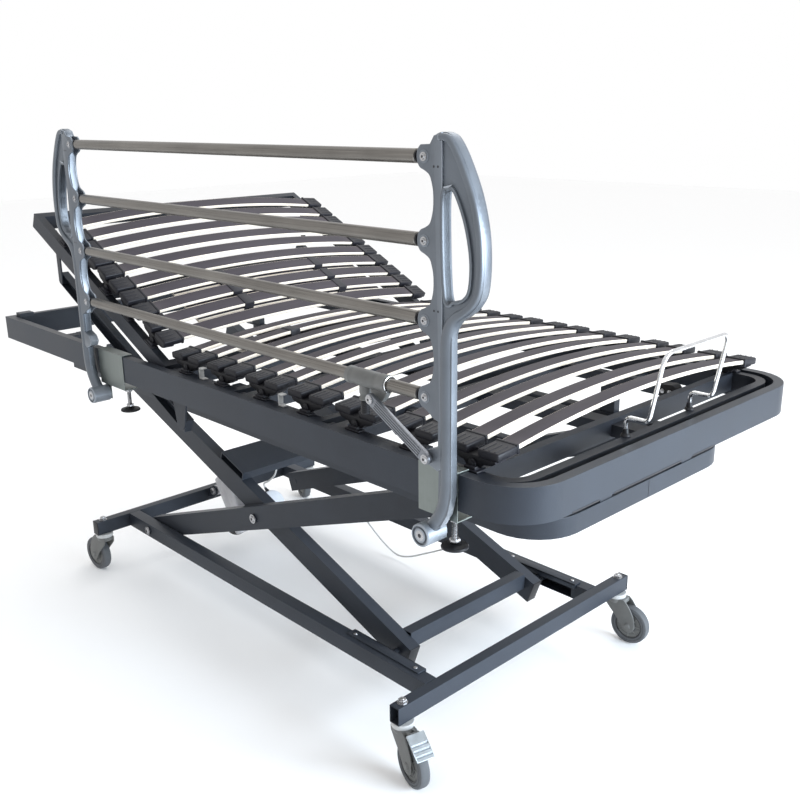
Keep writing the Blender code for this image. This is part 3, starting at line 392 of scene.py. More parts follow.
class Shape:
    """Solids gathered in one mesh. Everything is in the bed's own coordinates until it is placed."""

    def __init__(self):
        self.bm = bmesh.new()
        self.slot = 0

    def take(self, part, matrix=None, painted=False):
        """Adds a part, in the present material slot unless its faces have their own."""
        if matrix is not None:
            part.transform(matrix)
        for face in part.faces if not painted else ():
            face.material_index = self.slot
        mesh = bpy.data.meshes.new("part")
        part.to_mesh(mesh)
        part.free()
        self.bm.from_mesh(mesh)
        bpy.data.meshes.remove(mesh)
        return self

    def box(self, low, high, bevel=0.0, segments=2, matrix=None):
        bm = bmesh.new()
        bmesh.ops.create_cube(bm, size=1.0)
        low, high = Vector(low), Vector(high)
        for vertex in bm.verts:
            vertex.co = Vector(m + c * s for m, c, s in zip((low + high) / 2, vertex.co, high - low))
        if bevel > 0.0:
            bmesh.ops.bevel(bm, geom=bm.edges[:], offset=bevel, segments=segments, affect="EDGES", profile=0.5)
        return self.take(bm, matrix)

    def rod(self, start, end, radius, sides=24, bevel=0.0, end_radius=None):
        start, end = Vector(start), Vector(end)
        axis = end - start
        bm = bmesh.new()
        tip = radius if end_radius is None else end_radius
        ends = {"radius1": radius, "radius2": tip, "depth": axis.length}
        bmesh.ops.create_cone(bm, cap_ends=True, segments=sides, **ends)
        if bevel > 0.0:
            rims = [e for e in bm.edges if any(len(f.verts) > 4 for f in e.link_faces)]
            bmesh.ops.bevel(bm, geom=rims, offset=bevel, segments=2, affect="EDGES", profile=0.5)
        place = Matrix.Translation((start + end) / 2) @ axis.to_track_quat("Z", "Y").to_matrix().to_4x4()
        return self.take(bm, place)

    def lathe(self, profile, centre, axis="Y", sides=40):
        """A (radius, along) profile turned about an axis through centre; closed if its ends meet."""
        bm = bmesh.new()
        ring = [bm.verts.new((radius, 0.0, along)) for radius, along in profile]
        for first, second in zip(ring, ring[1:]):
            bm.edges.new((first, second))
        around = {"cent": (0, 0, 0), "axis": (0, 0, 1), "angle": 2 * math.pi, "steps": sides}
        bmesh.ops.spin(bm, geom=bm.verts[:] + bm.edges[:], **around)
        bmesh.ops.remove_doubles(bm, verts=bm.verts, dist=0.00002)
        bmesh.ops.recalc_face_normals(bm, faces=bm.faces)
        if axis == "Y":
            bm.transform(Matrix.Rotation(-math.pi / 2, 4, "X"))
        elif axis == "X":
            bm.transform(Matrix.Rotation(math.pi / 2, 4, "Y"))
        return self.take(bm, Matrix.Translation(centre))

    def plate(self, outlines, low, high, bevel=0.0, segments=2):
        """Outlines in X and Z, the first filled and the rest holes, between two Y values."""
        curve = bpy.data.curves.new("outline", "CURVE")
        curve.dimensions = "2D"
        curve.fill_mode = "BOTH"
        curve.extrude = max((high - low) / 2 - bevel, 0.0)
        curve.bevel_depth = bevel
        curve.bevel_resolution = segments
        curve.offset = -bevel
        for number, outline in enumerate(outlines):
            area = sum(a[0] * b[1] - b[0] * a[1] for a, b in zip(outline, outline[1:] + outline[:1]))
            points = outline if (area > 0) == (number == 0) else list(reversed(outline))
            spline = curve.splines.new("POLY")
            spline.points.add(len(points) - 1)
            for point, (u, v) in zip(spline.points, points):
                point.co = (u, v, 0.0, 1.0)
            spline.use_cyclic_u = True
        sketch = bpy.data.objects.new("outline", curve)
        bpy.context.scene.collection.objects.link(sketch)
        mesh = bpy.data.meshes.new_from_object(sketch.evaluated_get(bpy.context.evaluated_depsgraph_get()))
        bpy.data.objects.remove(sketch)
        bpy.data.curves.remove(curve)
        bm = bmesh.new()
        bm.from_mesh(mesh)
        bpy.data.meshes.remove(mesh)
        bmesh.ops.remove_doubles(bm, verts=bm.verts, dist=0.00002)
        bmesh.ops.dissolve_limit(bm, angle_limit=0.001, verts=bm.verts, edges=bm.edges)
        bm.transform(Matrix(((1, 0, 0, 0), (0, 0, -1, (low + high) / 2), (0, 1, 0, 0), (0, 0, 0, 1))))
        bmesh.ops.recalc_face_normals(bm, faces=bm.faces)
        return self.take(bm)

    def skin(self, rings):
        """Covers rings of places, one after another, and closes both ends."""
        bm = bmesh.new()
        rings = [[bm.verts.new(place) for place in ring] for ring in rings]
        for first, second in zip(rings, rings[1:]):
            for step in range(len(first)):
                following = (step + 1) % len(first)
                bm.faces.new((first[step], first[following], second[following], second[step]))
        bm.faces.new(list(reversed(rings[0])))
        bm.faces.new(rings[-1])
        bmesh.ops.recalc_face_normals(bm, faces=bm.faces)
        return self.take(bm)

    def tube(self, points, radius, sides=14):
        """A round bar along points, with closed ends and no twist."""
        points = [Vector(point) for point in points]
        side = None
        rings = []
        for number, point in enumerate(points):
            before = points[max(number - 1, 0)]
            after = points[min(number + 1, len(points) - 1)]
            along = (after - before).normalized()
            if side is None:
                side = along.orthogonal().normalized()
            side = (side - along * side.dot(along)).normalized()
            other = along.cross(side)
            angles = [2 * math.pi * step / sides for step in range(sides)]
            rings.append([point + (side * math.cos(angle) + other * math.sin(angle)) * radius for angle in angles])
        return self.skin(rings)

    def sweep(self, route, half, middle):
        """A band along an (x, z, half thickness) route, square-shouldered where thin and round where thick."""
        rings = []
        for number, stop in enumerate(route):
            before, after = route[max(number - 1, 0)], route[min(number + 1, len(route) - 1)]
            along = Vector((after.x - before.x, after.y - before.y)).normalized()
            power = 0.48 + 0.52 * min(max((stop.z - 0.0065) / 0.0063, 0.0), 1.0)
            ring = []
            for step in range(28):
                angle = 2 * math.pi * step / 28
                across, out = math.cos(angle), math.sin(angle)
                across = math.copysign(abs(across) ** power, across) * half
                out = math.copysign(abs(out) ** power, out) * stop.z
                ring.append((stop.x - along.y * out, middle + across, stop.y + along.x * out))
            rings.append(ring)
        return self.skin(rings)

    def carve(self, cutter):
        """Takes another shape away from this one."""
        base = bpy.data.meshes.new("base")
        self.bm.to_mesh(base)
        tool = bpy.data.meshes.new("tool")
        cutter.bm.to_mesh(tool)
        base_object, tool_object = new_object("base", base), new_object("tool", tool)
        for _ in range(4):
            base.materials.append(None)
            tool.materials.append(None)
        modifier = base_object.modifiers.new("carve", "BOOLEAN")
        modifier.operation = "DIFFERENCE"
        modifier.solver = "EXACT"
        modifier.object = tool_object
        seen = base_object.evaluated_get(bpy.context.evaluated_depsgraph_get())
        mesh = bpy.data.meshes.new_from_object(seen)
        self.bm.free()
        cutter.bm.free()
        self.bm = bmesh.new()
        self.bm.from_mesh(mesh)
        for made in (base_object, tool_object):
            bpy.data.objects.remove(made)
        for unused in (base, tool, mesh):
            bpy.data.meshes.remove(unused)
        return self

    def place(self, name, body, slot, materials, replaces=(), sharp=32.0, bevel=0.0, matrix=None):
        """Makes the piece, in the row's frame, riding on its body."""
        if matrix is not None:
            self.bm.transform(matrix)
            if matrix.determinant() < 0:
                bmesh.ops.reverse_faces(self.bm, faces=self.bm.faces)
        self.bm.transform(Matrix.Translation(SHIFT))
        mesh = bpy.data.meshes.new(name)
        self.bm.to_mesh(mesh)
        self.bm.free()
        for made in materials if isinstance(materials, list) else [materials]:
            mesh.materials.append(made)
        mesh.shade_smooth()
        mesh.set_sharp_from_angle(angle=math.radians(sharp))
        piece = new_object(name, mesh)
        if bevel > 0.0:
            rounded(piece, bevel)
        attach(piece, body)
        if replaces:
            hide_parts(*replaces)
        return piece


def soft_shading():
    """A modifier's nodes that shade every face smooth and keep the edges over 40 degrees sharp."""
    group = bpy.data.node_groups.new("soft_shading", "GeometryNodeTree")
    group.interface.new_socket("Geometry", in_out="INPUT", socket_type="NodeSocketGeometry")
    group.interface.new_socket("Geometry", in_out="OUTPUT", socket_type="NodeSocketGeometry")
    start, end = group.nodes.new("NodeGroupInput"), group.nodes.new("NodeGroupOutput")
    faces, edges = group.nodes.new("GeometryNodeSetShadeSmooth"), group.nodes.new("GeometryNodeSetShadeSmooth")
    edges.domain = "EDGE"
    edges.inputs["Shade Smooth"].default_value = False
    turn, steep = group.nodes.new("GeometryNodeInputMeshEdgeAngle"), group.nodes.new("FunctionNodeCompare")
    steep.inputs["B"].default_value = math.radians(40.0)
    group.links.new(turn.outputs["Unsigned Angle"], steep.inputs["A"])
    group.links.new(steep.outputs["Result"], edges.inputs["Selection"])
    group.links.new(start.outputs["Geometry"], faces.inputs["Geometry"])
    group.links.new(faces.outputs["Geometry"], edges.inputs["Geometry"])
    group.links.new(edges.outputs["Geometry"], end.inputs["Geometry"])
    return group


SOFT = soft_shading()


def rounded(piece, width, segments=2):
    weld = piece.modifiers.new("weld", "WELD")
    weld.merge_threshold = 0.00002
    bevel = piece.modifiers.new("bevel", "BEVEL")
    bevel.width = width
    bevel.segments = segments
    bevel.limit_method = "ANGLE"
    bevel.angle_limit = math.radians(35.0)
    bevel.harden_normals = True


def finish_node(name, made, width):
    """A CAD node that keeps its shape gets its material and softly rounded edges."""
    node = nodes[name]
    for material_slot in node.material_slots:
        material_slot.material = made
    if not node.material_slots:
        node.data.materials.append(made)
    rounded(node, width)
    node.modifiers["bevel"].harden_normals = False
    node.modifiers.new("soft", "NODES").node_group = SOFT
    weighted = node.modifiers.new("weighted", "WEIGHTED_NORMAL")
    weighted.keep_sharp = True


def arc(centre, radius, start, end, steps):
    points = []
    for step in range(steps + 1):
        angle = math.radians(start + (end - start) * step / steps)
        points.append((centre[0] + radius * math.cos(angle), centre[1] + radius * math.sin(angle)))
    return points


def smooth(route, count):
    """Points along a smooth curve through every point of the route."""
    points = []
    for step in range(count + 1):
        place = (len(route) - 1) * step / count
        number = min(int(place), len(route) - 2)
        t = place - number
        here, there = route[number], route[number + 1]
        before = route[number - 1] if number > 0 else 2 * here - there
        after = route[number + 2] if number + 2 < len(route) else 2 * there - here
        square = 2 * before - 5 * here + 4 * there - after
        cube = 3 * here - before - 3 * there + after
        points.append((2 * here + (there - before) * t + square * t * t + cube * t * t * t) / 2)
    return points


def about(point, angle, axis="Y"):
    place = Matrix.Translation(Vector(point))
    return place @ Matrix.Rotation(angle, 4, axis) @ place.inverted()


def on_arm(distance, height):
    """A point beside the inner arms, from the centre pivot towards the head."""
    x = CENTRE[0] - distance * math.cos(LIFT_ANGLE) + height * math.sin(LIFT_ANGLE)
    z = CENTRE[1] + distance * math.sin(LIFT_ANGLE) + height * math.cos(LIFT_ANGLE)
    return x, z


DRIVE_TIP = on_arm(DRIVE_TIP_ALONG, DRIVE_TIP_UP)
DRIVE_ANGLE = math.atan2(DRIVE_TIP[1] - DRIVE_BASE[1], DRIVE_TIP[0] - DRIVE_BASE[0])
DRIVE_TURN = Matrix.Translation((DRIVE_BASE[0], 0.0, DRIVE_BASE[1])) @ Matrix.Rotation(-DRIVE_ANGLE, 4, "Y")
BACK_TURN = about((BACK_HINGE, 0.0, HINGE_Z), BACK_ANGLE)


# ---- cables ----
CORD_WIDTH, CORD_GAP = 0.005, 0.0012
RAIL_CABLE_Y = 0.285


def cord_run(name, points, body, node):
    """A cord drawn along its route, with its measured row."""
    curve = bpy.data.curves.new(name, "CURVE")
    curve.dimensions = "3D"
    curve.bevel_depth = CORD_WIDTH / 2
    curve.bevel_resolution = 4
    curve.use_fill_caps = True
    spline = curve.splines.new("POLY")
    spline.points.add(len(points) - 1)
    for point, place in zip(spline.points, points):
        point.co = (*place, 1.0)
    spline.use_smooth = True
    curve.materials.append(CABLE)
    piece = new_object(name, curve)
    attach(piece, body)
    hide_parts(node)


def cables():
    top = TUBE_BOTTOM - CORD_GAP
    left = [(-0.27, top), (-0.27, 0.114), (-0.2625, 0.098), (-0.225, 0.07), (-0.165, 0.034)]
    right = [(-0.055, 0.028), (0.01, 0.06), (0.08, 0.097), (0.108, 0.114), (0.115, top)]
    route = [Vector((x, RAIL_CABLE_Y, z)) for x, z in left + [(-0.108, 0.0155)] + right]
    cord_run("rail_cable_run", [point + SHIFT for point in smooth(route, 60)], "chassis", "rail_cable")
    side = MOTOR_DROP + 0.0362 + CORD_GAP
    lead = [(0.25, 0.0, side), (0.252, -0.004, side + 0.012), (0.266, -0.01, side + 0.022)]
    lead += [(0.3, -0.014, side + 0.02), (0.332, -0.01, side + 0.026), (0.347, -0.003, side + 0.044)]
    lead += [(0.35, 0.0, -0.021 - CORD_GAP)]
    points = [DRIVE_TURN @ point + SHIFT for point in smooth([Vector(place) for place in lead], 40)]
    cord_run("motor_lead_run", points, "drive_body", "motor_lead")


cables()


# ---- slats ----
SLAT_HALF, SLAT_CROWN, SLAT_END_TOP, SLAT_THICK, SLAT_WIDE = 0.392, 0.0275, 0.7845, 0.008, 0.038
CAP_END = 0.432
FLAT_FIRST, FLAT_PITCH, FLAT_OFFSET = -0.042, 0.146, 0.034
BACK_FIRST, BACK_PITCH, BACK_OFFSET = 0.101, 0.1146, 0.03
LUMBAR_DROP, LUMBAR_HALF, LUMBAR_THICK, SLIDER_Y = 0.015, 0.3, 0.007, 0.155


def crown(y):
    return SLAT_END_TOP + SLAT_CROWN * (1 - (y / SLAT_HALF) ** 2)


def slope_at(y):
    return -2 * SLAT_CROWN * y / SLAT_HALF**2


def slat(shape, middle, drop=0.0, half=SLAT_HALF, thick=SLAT_THICK):
    """One cambered slat: foil on both faces, bare plies on its long edges, which are rounded."""
    steps = 28
    radius = 0.0016
    w, t = SLAT_WIDE / 2, thick
    # the section, as (across, down, face material), clockwise from the top's head side
    section = [(-w + radius, 0.0, 0), (w - radius, 0.0, 1), (w - radius * 0.3, -radius * 0.3, 1), (w, -radius, 1)]
    section += [(w, -t + radius, 1), (w - radius * 0.3, -t + radius * 0.3, 1), (w - radius, -t, 0)]
    section += [(-w + radius, -t, 1), (-w + radius * 0.3, -t + radius * 0.3, 1), (-w, -t + radius, 1)]
    section += [(-w, -radius, 1), (-w + radius * 0.3, -radius * 0.3, 1)]
    bm = bmesh.new()
    ply = bm.verts.layers.float_vector.new("ply")
    rings = []
    for step in range(steps + 1):
        y = -half + 2 * half * step / steps
        slope = slope_at(y)
        norm = math.hypot(1.0, slope)
        ring = []
        for across, down, _ in section:
            place = (middle + across, y - down * slope / norm, crown(y) - drop + down / norm)
            vertex = bm.verts.new(place)
            vertex[ply] = (across * 1000.0, y * 1000.0, down * 1000.0)
            ring.append(vertex)
        rings.append(ring)
    count = len(section)
    for first, second in zip(rings, rings[1:]):
        for number in range(count):
            following = (number + 1) % count
            face = bm.faces.new((first[number], first[following], second[following], second[number]))
            face.material_index = section[number][2]
    for ring in (list(reversed(rings[0])), rings[-1]):
        bm.faces.new(ring).material_index = 1
    bmesh.ops.recalc_face_normals(bm, faces=bm.faces)
    shape.take(bm, painted=True)


def cap_block(shape, low, high, bevel, slope, side):
    """A rounded block, given from the slat's end height, that leans with the slat's end."""
    rise = Vector((0.0, 0.0, SLAT_END_TOP))
    lean = about((0.0, side * SLAT_HALF, SLAT_END_TOP), slope, "X")
    shape.box(Vector(low) + rise, Vector(high) + rise, bevel, 3, lean)


def slat_pair(number, body, offset, middle, turn, lumbar):
    """Two slats in their holders. The places in lumbar have a second slat below, held by sliders."""
    name = "%02d" % number
    boards = Shape()
    for place in (-offset, offset):
        slat(boards, place)
    for place in lumbar:
        slat(boards, place, LUMBAR_DROP, LUMBAR_HALF, LUMBAR_THICK)
    matrix = turn @ Matrix.Translation((middle, 0, 0))
    boards.place("slats_" + name, body, "slat_wood", [FOIL, BIRCH], ("slat_pair_" + name,), 40.0, matrix=matrix)

    caps = Shape()
    for side in (-1, 1):
        slope = -side * math.atan(2 * SLAT_CROWN / SLAT_HALF)
        for place in (-offset, offset):
            ends = sorted((side * (SLAT_HALF - 0.012), side * CAP_END))
            low, high = (place - 0.0225, ends[0], -0.012), (place + 0.0225, ends[1], 0.0032)
            cap_block(caps, low, high, 0.0035, slope * 0.6, side)
            lip = sorted((side * (SLAT_HALF - 0.0135), side * (SLAT_HALF - 0.0065)))
            low, high = (place - 0.0235, lip[0], -0.013), (place + 0.0235, lip[1], 0.0042)
            cap_block(caps, low, high, 0.0022, slope * 0.8, side)
            ridge = sorted((side * (SLAT_HALF + 0.004), side * (CAP_END - 0.004)))
            for rib in (-0.012, 0.0, 0.012):
                low, high = (place + rib - 0.0018, ridge[0], 0.001), (place + rib + 0.0018, ridge[1], 0.0042)
                cap_block(caps, low, high, 0.0009, slope * 0.6, side)
        # the rocker: an arch between the two caps, turning on a boss over the side tube
        inner, outer = sorted((side * (SLAT_HALF + 0.008), side * (CAP_END - 0.004)))
        span = 0.0475
        arch = [(-span, 0.7735), (-span, 0.765), (-0.04, 0.76), (-0.022, 0.757), (-0.016, 0.75)]
        arch += arc((0.0, 0.7545), 0.0105, 205, 335, 6)
        arch += [(0.016, 0.75), (0.022, 0.757), (0.04, 0.76), (span, 0.765), (span, 0.7735)]
        arch += [(0.018, 0.7735), (0.01, 0.77), (-0.01, 0.77), (-0.018, 0.7735)]
        caps.plate([arch], inner, outer, 0.0016, 2)
        boss = side * (CAP_END - 0.0035)
        caps.rod((0.0, boss, 0.7555), (0.0, boss + side * 0.0035, 0.7555), 0.0085, 20, 0.0008)
        caps.rod((0.0, boss, 0.7555), (0.0, boss + side * 0.0045, 0.7555), 0.0045, 12, 0.0006)
        foot = sorted((side * 0.4215, side * 0.4395))
        caps.box((-0.019, foot[0], DECK_TOP + 0.0003), (0.019, foot[1], 0.7475), 0.0014)
        web = sorted((side * 0.424, side * 0.437))
        caps.box((-0.012, web[0], 0.746), (0.012, web[1], 0.753), 0.0012)
    for y in (-SLIDER_Y, SLIDER_Y):
        for place in lumbar:
            height = crown(y)
            lean = about((0.0, y, height), math.atan(slope_at(y)), "X")
            low, high = (place - 0.0215, y - 0.014, height - 0.025), (place + 0.0215, y + 0.014, height + 0.0022)
            caps.box(low, high, 0.0022, 2, lean)
    caps.place("slat_holders_" + name, body, "black_rubber", CAP_RUBBER, sharp=35.0, matrix=matrix)


def slats():
    flat = ["bed_frame", "bed_frame", "thigh_section", "thigh_section"] + ["leg_section"] * 3
    for number, body in enumerate(flat):
        lumbar = (FLAT_OFFSET,) if number == 0 else ()
        slat_pair(number + 6, body, FLAT_OFFSET, FLAT_FIRST + FLAT_PITCH * number, Matrix.Identity(4), lumbar)
    # beside the back's hinge there is no room for a second slat when the back is up
    lumbars = [(-BACK_OFFSET,), (-BACK_OFFSET, BACK_OFFSET), (), (), ()]
    for number, lumbar in enumerate(lumbars):
        distance = BACK_FIRST + BACK_PITCH * number
        slat_pair(5 - number, "back_section", BACK_OFFSET, BACK_HINGE - distance, BACK_TURN, lumbar)


slats()


# ---- the frames, arms and chassis keep their CAD shapes ----
def frames():
    for name in ("bed_frame", "lift_top_frame", "chassis_foot_tube", "chassis_head_tube", "chassis_rail_near"):
        finish_node(name, FRAME_PAINT, 0.0016)
    for name in ("chassis_rail_far", "outer_arm_near", "outer_arm_far", "inner_arm_near", "inner_arm_far"):
        finish_node(name, FRAME_PAINT, 0.0014)
    for name in ("sliding_cross_tube", "lift_beam"):
        finish_node(name, FRAME_PAINT, 0.0014)
    for name in ("seat_frame", "back_frame", "thigh_frame", "leg_frame"):
        finish_node(name, DECK_PAINT, 0.0014)
    for name in ("back_lever_near", "back_lever_far", "back_link_near", "back_link_far"):
        finish_node(name, FRAME_PAINT, 0.001)
    finish_node("lift_drive_rod", BRIGHT, 0.0006)
    for name in ("guard_clamp_foot", "guard_clamp_head"):
        finish_node(name, ZINC, 0.0005)


frames()

# ---- small fasteners ----
def button(shape, place, out, radius, height, metal, dark):
    """A domed socket-head bolt standing on a surface, its head towards out."""
    place, out = Vector(place), Vector(out).normalized()
    before = shape.slot
    shape.slot = metal
    shape.rod(place - out * 0.001, place + out * height * 0.35, radius * 1.28, 24)
    shape.rod(place, place + out * height, radius, 24, 0.0, radius * 0.72)
    # painted shade: the hex socket is a dark disc standing on the head, in place of the recess
    shape.slot = dark
    shape.rod(place + out * (height - 0.0004), place + out * (height + 0.00012), radius * 0.42, 6)
    shape.slot = before


def hex_nut(shape, place, out, radius, height, stud=0.0):
    """A washer with a hexagon nut on it, and the end of its stud."""
    place, out = Vector(place), Vector(out).normalized()
    shape.rod(place - out * 0.0005, place + out * 0.0012, radius * 1.25, 24)
    shape.rod(place + out * 0.0012, place + out * (0.0012 + height), radius, 6, 0.0006)
    if stud > 0.0:
        shape.rod(place + out * height, place + out * (height + 0.0012 + stud), radius * 0.52, 16, 0.0004)


# ---- side guard ----
def offset_loop(path, distance):
    """The closed path moved sideways: positive to the left of the way it runs."""
    moved = []
    for number, (u, v) in enumerate(path):
        before, after = path[number - 1], path[(number + 1) % len(path)]
        along = Vector((after[0] - before[0], after[1] - before[1])).normalized()
        moved.append((u - along.y * distance, v + along.x * distance))
    return moved


def rounded_path(path, count, closed=False):
    route = [Vector(point) for point in path]
    if not closed:
        return [tuple(point) for point in smooth(route, count)]
    around = route[-2:] + route + route[:2]
    points = smooth(around, count)
    share = 1.0 / (len(around) - 1)
    kept = [point for number, point in enumerate(points) if 2 * share <= number / count < (len(around) - 2) * share]
    return [tuple(point) for point in kept]


POST_HALF = 0.0106
HANDLE = [(0.012, 1.262), (0.02, 1.2745), (0.036, 1.279), (0.054, 1.2735), (0.076, 1.245), (0.1, 1.195)]
HANDLE += [(0.114, 1.145), (0.1185, 1.098), (0.1155, 1.054), (0.104, 1.03), (0.084, 1.013), (0.062, 1.001)]
HANDLE += [(0.0545, 0.985)]
GRIP = [(0.037, 1.18), (0.048, 1.196), (0.06, 1.192), (0.08, 1.15), (0.091, 1.1), (0.089, 1.058)]
GRIP += [(0.078, 1.041), (0.06, 1.035), (0.042, 1.041)]


def post_shape():
    """The cast post with its bolt column at x = 0, handle towards +X."""
    handle = [(u, min(v, 1.2795)) for u, v in rounded_path(HANDLE, 60)]
    grip = rounded_path(GRIP, 72, closed=True)
    low = [(0.054, 0.86), (0.054, 0.715), (0.046, 0.682), (0.03, 0.655), (0.012, 0.65), (0.012, 0.668)]
    low += [(0.025, 0.7), (0.026, 0.754), (0.004, 0.762), (-0.002, 0.7734), (0.006, 0.786), (0.028, 0.794)]
    low += [(0.028, 0.838)]
    core, ears = [], []
    for number, z in enumerate(BAR_HEIGHTS):
        core += [(0.013, z - 0.03), (0.013, z + 0.03)]
        turns = [math.radians(angle) for angle in range(244, 115, -8)]
        ears += [(0.0158 * math.cos(turn), z + 0.0192 * math.sin(turn)) for turn in turns]
        if number < len(BAR_HEIGHTS) - 1:
            following = BAR_HEIGHTS[number + 1]
            middle = (z + following) / 2
            core.append((0.0195, middle))
            neck = [(0.0005, z + 0.02), (0.0105, z + 0.0262), (0.0155, z + 0.0375), (0.0185, middle - 0.01)]
            neck += [(0.0185, middle + 0.01), (0.0155, following - 0.0375), (0.0105, following - 0.0262)]
            neck += [(0.0005, following - 0.02)]
            ears += rounded_path(neck, 24)
    shape = Shape()
    core = handle + low + core[:-1] + [(0.013, 1.262)]
    shape.plate([core, grip], POST_MID - 0.0069, POST_MID + 0.0069, 0.0008)
    under = [(0.015, 0.8425), (0.0105, 0.8468), (0.0005, 0.853)]
    skin = [(0.012, 1.262), (0.02, 1.274), (0.0365, 1.2785), (0.0365, 0.76)] + low[7:] + under + ears
    shape.plate([skin], POST_MID - POST_HALF, POST_MID - 0.0068, 0.0009)
    shape.plate([skin], POST_MID + 0.0068, POST_MID + POST_HALF, 0.0009)
    around = offset_loop(grip, 0.0052)
    shape.plate([around, grip], POST_MID - 0.0112, POST_MID + 0.0112, 0.0022, 3)
    # the handle's broad rounded band, which narrows into the post's round spine
    route = [(0.03, 1.2712, 0.005), (0.04, 1.2718, 0.006), (0.052, 1.2666, 0.0064), (0.0705, 1.2405, 0.0065)]
    route += [(0.094, 1.1925, 0.0065), (0.1076, 1.144, 0.0065), (0.1118, 1.0985, 0.0065), (0.109, 1.0575, 0.0065)]
    route += [(0.099, 1.0365, 0.0066), (0.0812, 1.0208, 0.0072), (0.0628, 1.0096, 0.0088), (0.0505, 0.9965, 0.0108)]
    route += [(0.0432, 0.9785, 0.0123), (0.041, 0.954, 0.0128), (0.041, 0.9, 0.0128), (0.041, 0.8, 0.0128)]
    route += [(0.041, 0.735, 0.0128), (0.0385, 0.708, 0.0128), (0.031, 0.684, 0.0128), (0.019, 0.664, 0.0124)]
    route += [(0.006, 0.648, 0.0118)]
    shape.sweep(smooth([Vector(stop) for stop in route], 130), 0.0128, POST_MID)
    ring = [(0.0068, -0.0465), (0.0068, 0.0), (0.0185, 0.0), (0.0202, -0.0015), (0.0202, -0.0445), (0.0188, -0.0465)]
    ring += [(0.0165, -0.0465), (0.0155, -0.044), (0.0135, -0.044), (0.0125, -0.0462), (0.0068, -0.0465)]
    shape.lathe(ring, (0.0, -0.4613, BOSS_Z), "Y", 36)
    for z in BAR_HEIGHTS:
        for side in (-1, 1):
            face = POST_MID + side * POST_HALF
            shape.rod((0, face - side * 0.001, z), (0, face + side * 0.0007, z), 0.0098, 28, 0.0004)
        button(shape, (0, POST_MID - 0.0113, z), (0, -1, 0), 0.0052, 0.0035, 1, 2)
        shape.slot = 1
        shape.rod((0, POST_MID + 0.011, z), (0, POST_MID + 0.0128, z), 0.0062, 6, 0.0003)
        shape.slot = 0
    shape.slot = 2
    for z in (BAR_HEIGHTS[3] - 0.014, BAR_HEIGHTS[1] + 0.018):
        for dx in (0.0205, 0.029):
            for side in (-1, 1):
                shape.rod((dx, POST_MID + side * 0.009, z), (dx, POST_MID + side * 0.01072, z), 0.0019, 14)
    shape.slot = 0
    return shape


def bars():
    left, right = HEAD_POST_X + 0.0225, FOOT_POST_X - 0.0225
    profile = [(0.0, 0.0), (0.0094, 0.0), (0.011, 0.0012), (0.011, right - left - 0.0012)]
    profile += [(0.0094, right - left), (0.0, right - left)]
    for number, z in enumerate(BAR_HEIGHTS, start=1):
        shape = Shape()
        shape.lathe(profile, (left, POST_MID, z), "X", 36)
        shape.slot = 1
        for bolt, inward in ((HEAD_POST_X, 1), (FOOT_POST_X, -1)):
            tongue = arc((0.0, z), 0.01, 90, 270, 12) + [(0.024, z - 0.008), (0.024, z + 0.008)]
            tongue = [(bolt + inward * u, v) for u, v in tongue]
            shape.plate([tongue], POST_MID - 0.0062, POST_MID + 0.0062, 0.0008)
            ends = (bolt + inward * 0.0195, bolt + inward * 0.0232)
            shape.rod((ends[0], POST_MID, z), (ends[1], POST_MID, z), 0.0098, 28, 0.0006)
        name = "guard_bar_%d" % number
        shape.place("bar_tube_%d" % number, name, "bar_steel", [BAR_STEEL, BLACK], (name,))


def latch():
    z = BAR_HEIGHTS[0]
    shape = Shape()
    inner = 0.0116
    profile = [(inner, 0.0), (0.0142, 0.0), (0.0155, 0.0013), (0.0155, 0.01), (0.0147, 0.0112), (0.0147, 0.019)]
    profile += [(0.0153, 0.0205), (0.0153, 0.07), (0.0147, 0.0715), (0.0147, 0.079), (0.0155, 0.0805)]
    profile += [(0.0155, 0.097), (0.0142, 0.0985), (inner, 0.0985), (inner, 0.0)]
    shape.lathe(profile, (0.595, POST_MID, z), "X", 40)
    stem = [(0.0, -0.004), (0.0104, -0.004), (0.0104, -0.026), (0.0092, -0.0285), (0.0092, -0.033)]
    stem += [(0.0104, -0.035), (0.0104, -0.0378), (0.0095, -0.0388), (0.0, -0.0388)]
    collar = Shape()
    collar.lathe(stem, (0.634, POST_MID, z), "Z", 28)
    collar.carve(Shape().rod((0.58, POST_MID, z), (0.71, POST_MID, z), 0.0138, 32))
    shape.take(collar.bm)
    ear = [(0.6555, z - 0.0125), (0.6915, z - 0.0125), (0.688, z - 0.024), (0.68, z - 0.033), (0.6705, z - 0.0362)]
    ear += [(0.662, z - 0.034), (0.6575, z - 0.026)]
    shape.plate([rounded_path(ear, 42, closed=True)], POST_MID - 0.006, POST_MID + 0.006, 0.0012)
    shape.slot = 1
    ring = []
    for step in range(25):
        angle = 2 * math.pi * step / 24
        ring.append(Vector((0.7 - 0.0035, POST_MID + 0.0136 * math.cos(angle), z + 0.0136 * math.sin(angle))))
    shape.tube(ring[:24], 0.0011, 8)
    x, low = STRUT_SLEEVE
    shape.rod((x, POST_MID - 0.0132, low), (x, POST_MID + 0.0082, low), 0.004, 18)
    shape.rod((x, POST_MID + 0.006, low), (x, POST_MID + 0.0086, low), 0.007, 6, 0.0004)
    shape.place("latch_sleeve_body", "latch_sleeve", "guard_cast", [FORK_GREY, CHROME], ("latch_sleeve",))

    knob = Shape()
    grip = [(0.0, 0.0), (0.0066, 0.0), (0.0083, 0.0015)]
    for rib in range(5):
        start = 0.0035 + rib * 0.0036
        grip += [(0.0085, start), (0.0085, start + 0.0016), (0.0077, start + 0.0022), (0.0077, start + 0.0032)]
    grip += [(0.0083, 0.0225), (0.006, 0.0245), (0.0, 0.0245)]
    knob.lathe(grip, (0.634, POST_MID, 0.8083), "Z", 28)
    knob.place("latch_knob_grip", "latch_knob", "black_rubber", BLACK, ("latch_knob",))


